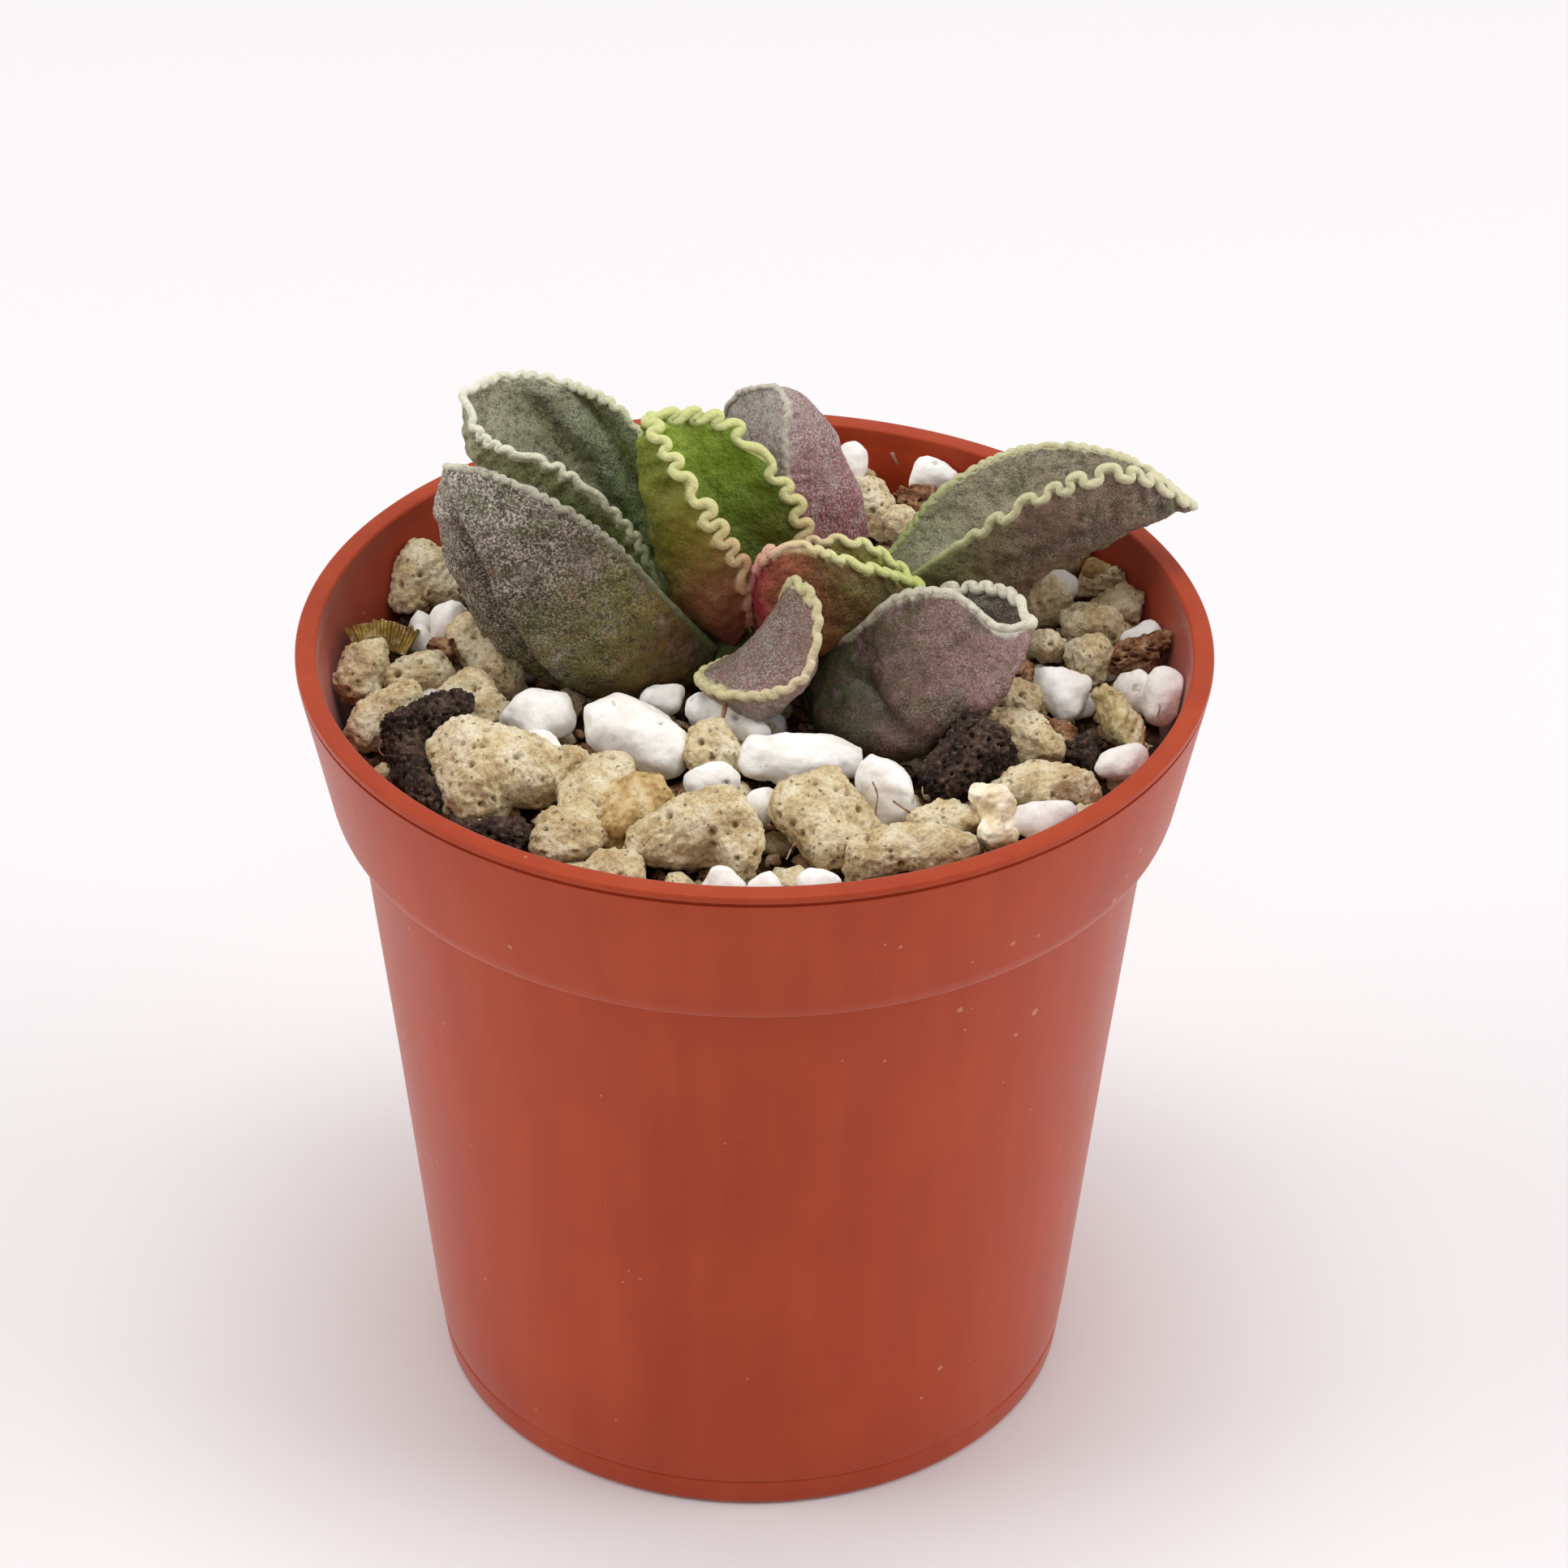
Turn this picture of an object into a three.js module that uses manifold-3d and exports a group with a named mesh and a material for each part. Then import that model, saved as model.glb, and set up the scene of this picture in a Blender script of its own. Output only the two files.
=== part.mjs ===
// A potted Adromischus marianiae: a small succulent with eight folded, crimp-edged leaves on a short
// stem, standing in loose gritty mix in a round nursery pot. Millimetres, +Z up. The origin is the
// centre of the pot's base, which stands on z = 0, and the leaves' photographed side faces -Y.

import * as THREE from 'three';
import { mergeVertices } from 'three/addons/utils/BufferGeometryUtils.js';
import Module from 'manifold-3d';

const wasm = await Module();
wasm.setup();

// Driving dimensions of the pot
const POT_HEIGHT = 51;
const RIM_RADIUS = 27.5;
const LIP_HEIGHT = 0.6;
const LIP_OVERHANG = 0.25;
const COLLAR_HEIGHT = 9.8;
const COLLAR_FOOT_RADIUS = 25.7;
const BODY_TOP_RADIUS = 24.2;
const BODY_FOOT_RADIUS = 20.2;
const FOOT_BEVEL_HEIGHT = 3.7;
const BASE_RADIUS = 19.7;
const RIM_WIDTH = 1.3;
const COLLAR_WALL = 1;
const BODY_WALL = 0.9;
const BASE_THICKNESS = 1.2;
const DRAIN_COUNT = 6;
const DRAIN_RADIUS = 1.8;
const DRAIN_CIRCLE = 13;

// Driving dimensions of the filling and the plant
const SEAT_GAP = 0.3;
const MIX_MIDDLE_TOP = 44.6;
const MIX_WALL_TOP = 46.4;
const STEM_AT = [0, 5];
const STEM_RADIUS = 3.2;
const STEM_TOP = 49;
const STEM_LENGTH = 14;
const KEEL_THICKNESS = 1.9;
const MARGIN_THICKNESS = 0.8;

// Steps round and along the shapes
const POT_SEGMENTS = 48;
const STEM_SEGMENTS = 16;
const HOLE_SEGMENTS = 10;
const LEAF_STATIONS = 11;
const HALF_STEPS = 4;

// Points nearer than this are one point: in a shape to be cut, and in a cut one
const SAME_POINT = 0.0001;
const WELD_DISTANCE = 0.002;

// How dull the surfaces are, and their colours
const POT_DULL = 0.55;
const LEAF_DULL = 0.7;
const MIX_DULL = 1;
const COLOURS = {
  terracotta: 0xa8402e,
  mix: 0x3a2a20,
  stem: 0x5d6a3c,
  greyLeaf: 0x83807a,
  greenLeaf: 0x7f9a46,
  purpleLeaf: 0x8f7580,
  redLeaf: 0x7b2f34,
  pumice: 0xc4b487,
  ochre: 0xb98f52,
  perlite: 0xe9e8e6,
  lava: 0x473b3f,
  bark: 0x6a4430,
  flake: 0xb3a152,
};

function vector([x, y, z]) {
  return new THREE.Vector3(x, y, z);
}

// The bare shape, with its shared points merged
function closedGeometry(geometry) {
  const bare = geometry.clone();
  bare.deleteAttribute('normal');
  bare.deleteAttribute('uv');
  return mergeVertices(bare, SAME_POINT);
}

// A solid that can be joined and cut, from a closed geometry
function toSolid(geometry) {
  const merged = closedGeometry(geometry);
  const mesh = new wasm.Mesh({
    numProp: 3,
    vertProperties: new Float32Array(merged.attributes.position.array),
    triVerts: new Uint32Array(merged.index.array),
  });
  return new wasm.Manifold(mesh);
}

// The largest single body of a solid, as a geometry
function toGeometry(solid) {
  const bodies = solid.decompose();
  bodies.sort((a, b) => b.volume() - a.volume());
  const mesh = bodies[0].getMesh();
  const geometry = new THREE.BufferGeometry();
  geometry.setAttribute('position', new THREE.BufferAttribute(new Float32Array(mesh.vertProperties), 3));
  geometry.setIndex(new THREE.BufferAttribute(new Uint32Array(mesh.triVerts), 1));
  const welded = mergeVertices(geometry, WELD_DISTANCE);
  welded.setIndex(withoutFlatFaces(welded.index.array));
  welded.computeVertexNormals();
  return welded;
}

// The triangles that still have three different corners
function withoutFlatFaces(index) {
  const kept = [];
  for (let i = 0; i < index.length; i += 3) {
    const [a, b, c] = index.slice(i, i + 3);
    if (a !== b && b !== c && c !== a) kept.push(a, b, c);
  }
  return kept;
}

// The same closed shape with every point moved outwards by the gap
function grown(geometry, gap) {
  const merged = closedGeometry(geometry);
  merged.computeVertexNormals();
  const position = merged.attributes.position;
  const normal = merged.attributes.normal;
  for (let i = 0; i < position.count; i += 1) {
    position.setXYZ(
      i,
      position.getX(i) + gap * normal.getX(i),
      position.getY(i) + gap * normal.getY(i),
      position.getZ(i) + gap * normal.getZ(i),
    );
  }
  merged.deleteAttribute('normal');
  return merged;
}

// A solid of revolution about the pot's axis, from [radius, height] points that go up the outside
function turned(profile, segments) {
  const points = profile.map(([r, z]) => new THREE.Vector2(r, z));
  return new THREE.LatheGeometry(points, segments).rotateX(Math.PI / 2);
}

// Pot: a thin moulded wall with a stepped collar, a small rolled lip and drain holes in its base

const COLLAR_FOOT = POT_HEIGHT - COLLAR_HEIGHT;
const COLLAR_TOP = POT_HEIGHT - LIP_HEIGHT;
const RIM_BEVEL = 0.25;
const LIP_BEVEL = 0.1;
const STEP_BEVEL = 0.4;
const STEP_SLOPE = 0.2;
const INNER_STEP_FOOT = COLLAR_FOOT - 0.8;
const INNER_STEP_TOP = COLLAR_FOOT + 1;

function potGeometry() {
  const outside = [
    [0, 0],
    [BASE_RADIUS, 0],
    [BODY_FOOT_RADIUS, FOOT_BEVEL_HEIGHT],
    [BODY_TOP_RADIUS, COLLAR_FOOT - STEP_SLOPE],
    [COLLAR_FOOT_RADIUS - STEP_BEVEL, COLLAR_FOOT],
    [COLLAR_FOOT_RADIUS, COLLAR_FOOT + STEP_BEVEL],
    [RIM_RADIUS - LIP_OVERHANG, COLLAR_TOP],
    [RIM_RADIUS, COLLAR_TOP + LIP_BEVEL],
    [RIM_RADIUS, POT_HEIGHT - RIM_BEVEL],
    [RIM_RADIUS - RIM_BEVEL, POT_HEIGHT],
  ];
  const inside = [
    [RIM_RADIUS - RIM_WIDTH, POT_HEIGHT],
    [RIM_RADIUS - LIP_OVERHANG - COLLAR_WALL, COLLAR_TOP],
    [COLLAR_FOOT_RADIUS - COLLAR_WALL, INNER_STEP_TOP],
    [BODY_TOP_RADIUS - BODY_WALL, INNER_STEP_FOOT],
    [BODY_FOOT_RADIUS - BODY_WALL, FOOT_BEVEL_HEIGHT],
    [BASE_RADIUS - BODY_WALL, BASE_THICKNESS],
    [0, BASE_THICKNESS],
  ];
  let pot = toSolid(turned([...outside, ...inside], POT_SEGMENTS));
  for (let i = 0; i < DRAIN_COUNT; i += 1) {
    const angle = i * 2 * Math.PI / DRAIN_COUNT;
    const hole = new THREE.CylinderGeometry(DRAIN_RADIUS, DRAIN_RADIUS, 4 * BASE_THICKNESS, HOLE_SEGMENTS);
    hole.rotateX(Math.PI / 2);
    hole.translate(DRAIN_CIRCLE * Math.cos(angle), DRAIN_CIRCLE * Math.sin(angle), 0);
    pot = pot.subtract(toSolid(hole));
  }
  return toGeometry(pot);
}

// The space inside the pot, one seat gap clear of its wall: up to a height at the wall, then along a
// line of [radius, height] points to the axis
function potSpace(wallTop, surface) {
  const collarFoot = [COLLAR_FOOT_RADIUS - COLLAR_WALL - SEAT_GAP, INNER_STEP_TOP];
  const collarTop = [RIM_RADIUS - LIP_OVERHANG - COLLAR_WALL - SEAT_GAP, COLLAR_TOP];
  const share = (wallTop - collarFoot[1]) / (collarTop[1] - collarFoot[1]);
  const profile = [
    [0, BASE_THICKNESS + SEAT_GAP],
    [BASE_RADIUS - BODY_WALL - SEAT_GAP, BASE_THICKNESS + SEAT_GAP],
    [BODY_TOP_RADIUS - BODY_WALL - SEAT_GAP, INNER_STEP_FOOT],
    collarFoot,
    [THREE.MathUtils.lerp(collarFoot[0], collarTop[0], share), wallTop],
    ...surface,
  ];
  return turned(profile, POT_SEGMENTS);
}

// The mix's top is a shallow dish, heaped against the wall: share of the rim's radius, share of the
// heap's height
const MIX_SURFACE = [[0.8, 0.6], [0.5, 0.1], [0, 0]];

function mixSpace() {
  const heap = MIX_WALL_TOP - MIX_MIDDLE_TOP;
  const surface = MIX_SURFACE.map(([out, up]) => [out * RIM_RADIUS, MIX_MIDDLE_TOP + up * heap]);
  return potSpace(MIX_WALL_TOP, surface);
}

// Stem: a short thick stem that runs down into the mix as a tapering root. Its outline goes from the
// root's tip to the top: share of the stem's radius, share of its length.
const STEM_OUTLINE = [[0, 0], [0.3, 0.04], [0.6, 0.35], [1, 0.65], [1, 0.89], [0.7, 0.97], [0, 1]];

function stemGeometry() {
  const foot = STEM_TOP - STEM_LENGTH;
  const profile = STEM_OUTLINE.map(([out, up]) => [out * STEM_RADIUS, foot + up * STEM_LENGTH]);
  const stem = turned(profile, STEM_SEGMENTS);
  stem.translate(STEM_AT[0], STEM_AT[1], 0);
  return stem;
}

// Leaves: each is a folded blade between three curves from its base to its tip, its near margin, its
// keel and its far margin. round is how blunt the fold is at the keel, and bulge how far its sides bow
// out. Where two leaves crowd each other at the stem, the later one in the list gives way.
const LEAVES = [
  {
    name: 'leaf_centre', colour: 'greenLeaf', round: 0.45, bulge: 0.12,
    near: [
      [-0.3, 3, 50.1], [-0.8, 2.3, 54.1], [-2.5, 2.8, 57],
      [-4.4, 4.5, 59.4], [-6.1, 6.8, 61.1], [-6.6, 9, 61.2],
    ],
    keel: [
      [-1.3, 4.5, 47.5], [-4.1, 5.5, 48.9], [-5.4, 7, 52.2],
      [-6.4, 8, 56.1], [-6.8, 8.6, 59.3], [-6.6, 9, 61.2],
    ],
    far: [
      [0.4, 6.5, 49.2], [2.6, 8, 51.6], [2.8, 9, 54.2],
      [0.9, 10, 56.9], [-2, 10.8, 59.7], [-6.6, 9, 61.2],
    ],
  },
  {
    name: 'leaf_centre_right', colour: 'redLeaf', round: 0.4, bulge: 0.1,
    near: [
      [-0.4, 3.6, 49.7], [0, 2.3, 54.5], [2.1, 1.7, 56.5],
      [5.3, 2, 55.2], [8, 3.5, 53.4], [10.1, 5, 51.6],
    ],
    keel: [
      [0.6, 4.4, 48], [1.8, 3.2, 47.5], [4.7, 2.4, 48],
      [7.6, 3, 49.4], [9.3, 4.2, 50.6], [10.1, 5, 51.6],
    ],
    far: [
      [0.6, 5.8, 49.6], [1.2, 6.5, 52.4], [3.9, 7, 53.6],
      [6.6, 7, 53.4], [8.6, 6.3, 52.4], [10.1, 5, 51.6],
    ],
  },
  {
    name: 'leaf_small_front', colour: 'purpleLeaf', round: 0.5, bulge: 0.14,
    near: [
      [-0.8, 3, 47.6], [-2.2, 0.5, 48.7], [-3.5, -2, 49.2],
      [-2, -3.8, 49.3], [0.8, -4.6, 49.8], [3, -4.6, 51],
    ],
    keel: [
      [0, 3.2, 46.6], [0.7, 1, 46.6], [0.8, -1.5, 47],
      [1.6, -3.2, 48.1], [2.5, -4.2, 49.6], [3, -4.6, 51],
    ],
    far: [
      [0.7, 3, 48.9], [1.8, 1.5, 53.2], [2.6, 0, 55.1],
      [3.8, -1.8, 54.3], [3.7, -3.6, 52.5], [3, -4.6, 51],
    ],
  },
  {
    name: 'leaf_front_right', colour: 'purpleLeaf', round: 0.5, bulge: 0.16,
    near: [
      [2, 3.5, 47.9], [5.6, 0.8, 50.6], [8.5, 0.5, 53.6],
      [11.6, 0, 54.2], [14.4, -1.5, 52.7], [16.6, -2, 53.3],
    ],
    keel: [
      [1.8, 4, 46.1], [4, -1, 45], [8.6, -4.2, 45],
      [12.4, -5, 48], [15.3, -4, 50.6], [16.6, -2, 53.3],
    ],
    far: [
      [2.2, 5, 47.2], [5.9, 4.5, 47.6], [9.3, 4.3, 50.8],
      [12.7, 3.5, 52.5], [15.3, 1.5, 53.4], [16.6, -2, 53.3],
    ],
  },
  {
    name: 'leaf_left_front', colour: 'greyLeaf', round: 0.45, bulge: 0.12,
    near: [
      [-2.5, 3, 48.4], [-5.3, 1, 53], [-8.4, 0.3, 57.3],
      [-12, 0.6, 60], [-15.9, 2, 61.1], [-18.6, 3.5, 60.7],
    ],
    keel: [
      [-2.5, 4, 45], [-9.6, 3, 44.4], [-15, 3, 47.6],
      [-18.1, 3.2, 53.2], [-19.2, 3.3, 57.7], [-18.6, 3.5, 60.7],
    ],
    far: [
      [-2.5, 5, 46.7], [-8, 6, 49.8], [-11.4, 6.5, 52.7],
      [-14.8, 6, 55.8], [-17.3, 5, 58.9], [-18.6, 3.5, 60.7],
    ],
  },
  {
    name: 'leaf_left_back', colour: 'greyLeaf', round: 0.45, bulge: 0.12,
    near: [
      [-2, 5.5, 47.8], [-5.7, 6, 50.8], [-7.8, 6.5, 54.6],
      [-11.8, 7, 58.3], [-16.3, 8, 59.7], [-17.9, 10.5, 61.7],
    ],
    keel: [
      [-2, 6.5, 45.2], [-7.1, 8.5, 46.2], [-10.8, 9.5, 48.9],
      [-15, 10, 53.5], [-17.3, 10.3, 58], [-17.9, 10.5, 61.7],
    ],
    far: [
      [-1.5, 7.5, 47.2], [-4.8, 11, 52.7], [-7.6, 13.5, 58.1],
      [-11.1, 14.3, 60.2], [-15, 13.5, 61.4], [-17.9, 10.5, 61.7],
    ],
  },
  {
    name: 'leaf_right', colour: 'greyLeaf', round: 0.4, bulge: 0.1,
    near: [
      [2, 5.5, 48.6], [7.9, 7.8, 49.2], [12.5, 7, 53.4],
      [17.5, 6, 57.6], [22.4, 6.8, 58.6], [26.9, 9, 54.9],
    ],
    keel: [
      [2, 6.2, 46.6], [7.9, 8.5, 47.6], [12.9, 9.3, 48.3],
      [18.3, 9.5, 50.5], [23.2, 9.3, 53.3], [26.9, 9, 54.9],
    ],
    far: [
      [2, 7.5, 47.6], [7.7, 11.5, 49.6], [11.6, 14, 53.4],
      [17.1, 15, 55.7], [22.8, 13, 56], [26.9, 9, 54.9],
    ],
  },
  {
    name: 'leaf_back', colour: 'purpleLeaf', round: 0.45, bulge: 0.12,
    near: [
      [1, 7, 48], [2.6, 10, 51], [2, 10.5, 54.8],
      [1.8, 11, 57.9], [1.9, 12.5, 59.9], [1.1, 14.5, 60.2],
    ],
    keel: [
      [1.4, 7.5, 46.2], [6.6, 14, 48.1], [6.4, 15.5, 51.9],
      [4.8, 16, 55.9], [2.7, 15.5, 59], [1.1, 14.5, 60.2],
    ],
    far: [
      [0.4, 7.5, 47], [-0.4, 14.5, 48.3], [-2, 16.5, 51.2],
      [-2.5, 17, 55], [-1.4, 16.5, 58.3], [1.1, 14.5, 60.2],
    ],
  },
];

// Where a bow turns in to its margin, how far the blade may fill its fold at the keel, how much of the
// mouth one margin may take, how far along the last ring lies, and how much thinner the tip is
const MARGIN_PULL = 0.38;
const KEEL_FILL = 0.6;
const MOUTH_SHARE = 0.3;
const LAST_RING = 0.97;
const TIP_THINNING = 0.4;

// Half of a folded blade's outer face: a bow from the keel out to one margin
function halfBow(keel, margin, opposite, leaf, t) {
  const across = margin.clone().sub(opposite);
  const chord = margin.clone().sub(keel);
  const reach = chord.length();
  const along = chord.clone().normalize();
  const outward = across.clone().addScaledVector(along, -across.dot(along)).normalize();
  const first = keel.clone().addScaledVector(across.clone().normalize(), leaf.round * reach);
  const second = margin.clone().addScaledVector(chord, -MARGIN_PULL);
  second.addScaledVector(outward, leaf.bulge * reach);
  return new THREE.CubicBezierCurve3(keel, first, second, margin).getPoint(t);
}

// The point inside the blade behind an outer point, one blade thickness nearer the open side
function innerPoint(outer, lid, t, taper) {
  const thickness = taper * THREE.MathUtils.lerp(KEEL_THICKNESS, MARGIN_THICKNESS, t);
  const most = THREE.MathUtils.lerp(KEEL_FILL, 1, t ** 4);
  const share = Math.min(most, thickness / Math.max(outer.distanceTo(lid), WELD_DISTANCE));
  return outer.clone().lerp(lid, share);
}

// One closed ring round a leaf: near margin, keel, far margin, and back along the inner face
function leafRing(near, keel, far, leaf, taper) {
  const across = far.clone().sub(near);
  const edge = Math.min(MARGIN_THICKNESS * taper, MOUTH_SHARE * across.length());
  const nearInner = near.clone().addScaledVector(across.clone().normalize(), edge);
  const farInner = far.clone().addScaledVector(across.clone().normalize(), -edge);
  const middle = nearInner.clone().lerp(farInner, 0.5);
  const outer = [];
  const inner = [];
  for (let i = -HALF_STEPS; i <= HALF_STEPS; i += 1) {
    const t = Math.abs(i) / HALF_STEPS;
    const [margin, opposite, lidEnd] = i < 0 ? [near, far, nearInner] : [far, near, farInner];
    const point = halfBow(keel, margin, opposite, leaf, t);
    outer.push(point);
    inner.push(innerPoint(point, middle.clone().lerp(lidEnd, t), t, taper));
  }
  return [...outer, ...inner.reverse()];
}

// A closed skin over a row of rings, with a point at each end
function skinOverRings(rings, firstPoint, lastPoint) {
  const count = rings[0].length;
  const positions = [];
  rings.flat().forEach((p) => positions.push(p.x, p.y, p.z));
  positions.push(firstPoint.x, firstPoint.y, firstPoint.z, lastPoint.x, lastPoint.y, lastPoint.z);
  const first = rings.length * count;
  const last = first + 1;
  const faces = [];
  for (let j = 0; j < count; j += 1) {
    const k = (j + 1) % count;
    faces.push(first, k, j);
    for (let i = 0; i < rings.length - 1; i += 1) {
      const a = i * count;
      const b = a + count;
      faces.push(a + j, a + k, b + j, a + k, b + k, b + j);
    }
    const end = (rings.length - 1) * count;
    faces.push(last, end + j, end + k);
  }
  const geometry = new THREE.BufferGeometry();
  geometry.setAttribute('position', new THREE.Float32BufferAttribute(positions, 3));
  geometry.setIndex(faces);
  return geometry;
}

// The margins in the order that makes the skin face outwards, seen along the leaf
function marginsInOrder(leaf) {
  const half = Math.floor(leaf.keel.length / 2);
  const [near, keel, far] = [leaf.near, leaf.keel, leaf.far].map((points) => vector(points[half]));
  const forwards = vector(leaf.keel[half + 1]).sub(vector(leaf.keel[half - 1]));
  const turn = near.sub(keel).cross(far.sub(keel)).dot(forwards);
  return turn > 0 ? [leaf.far, leaf.keel, leaf.near] : [leaf.near, leaf.keel, leaf.far];
}

function leafGeometry(leaf) {
  const curves = marginsInOrder(leaf).map(
    (points) => new THREE.CatmullRomCurve3(points.map(vector), false, 'catmullrom', 0.5),
  );
  const rings = [];
  for (let i = 0; i < LEAF_STATIONS; i += 1) {
    const s = LAST_RING * i / (LEAF_STATIONS - 1);
    const [near, keel, far] = curves.map((curve) => curve.getPoint(s));
    rings.push(leafRing(near, keel, far, leaf, 1 - TIP_THINNING * s * s));
  }
  const base = new THREE.Vector3();
  rings[0].forEach((point) => base.addScaledVector(point, 1 / rings[0].length));
  return skinOverRings(rings, base, curves[1].getPoint(1));
}

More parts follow.
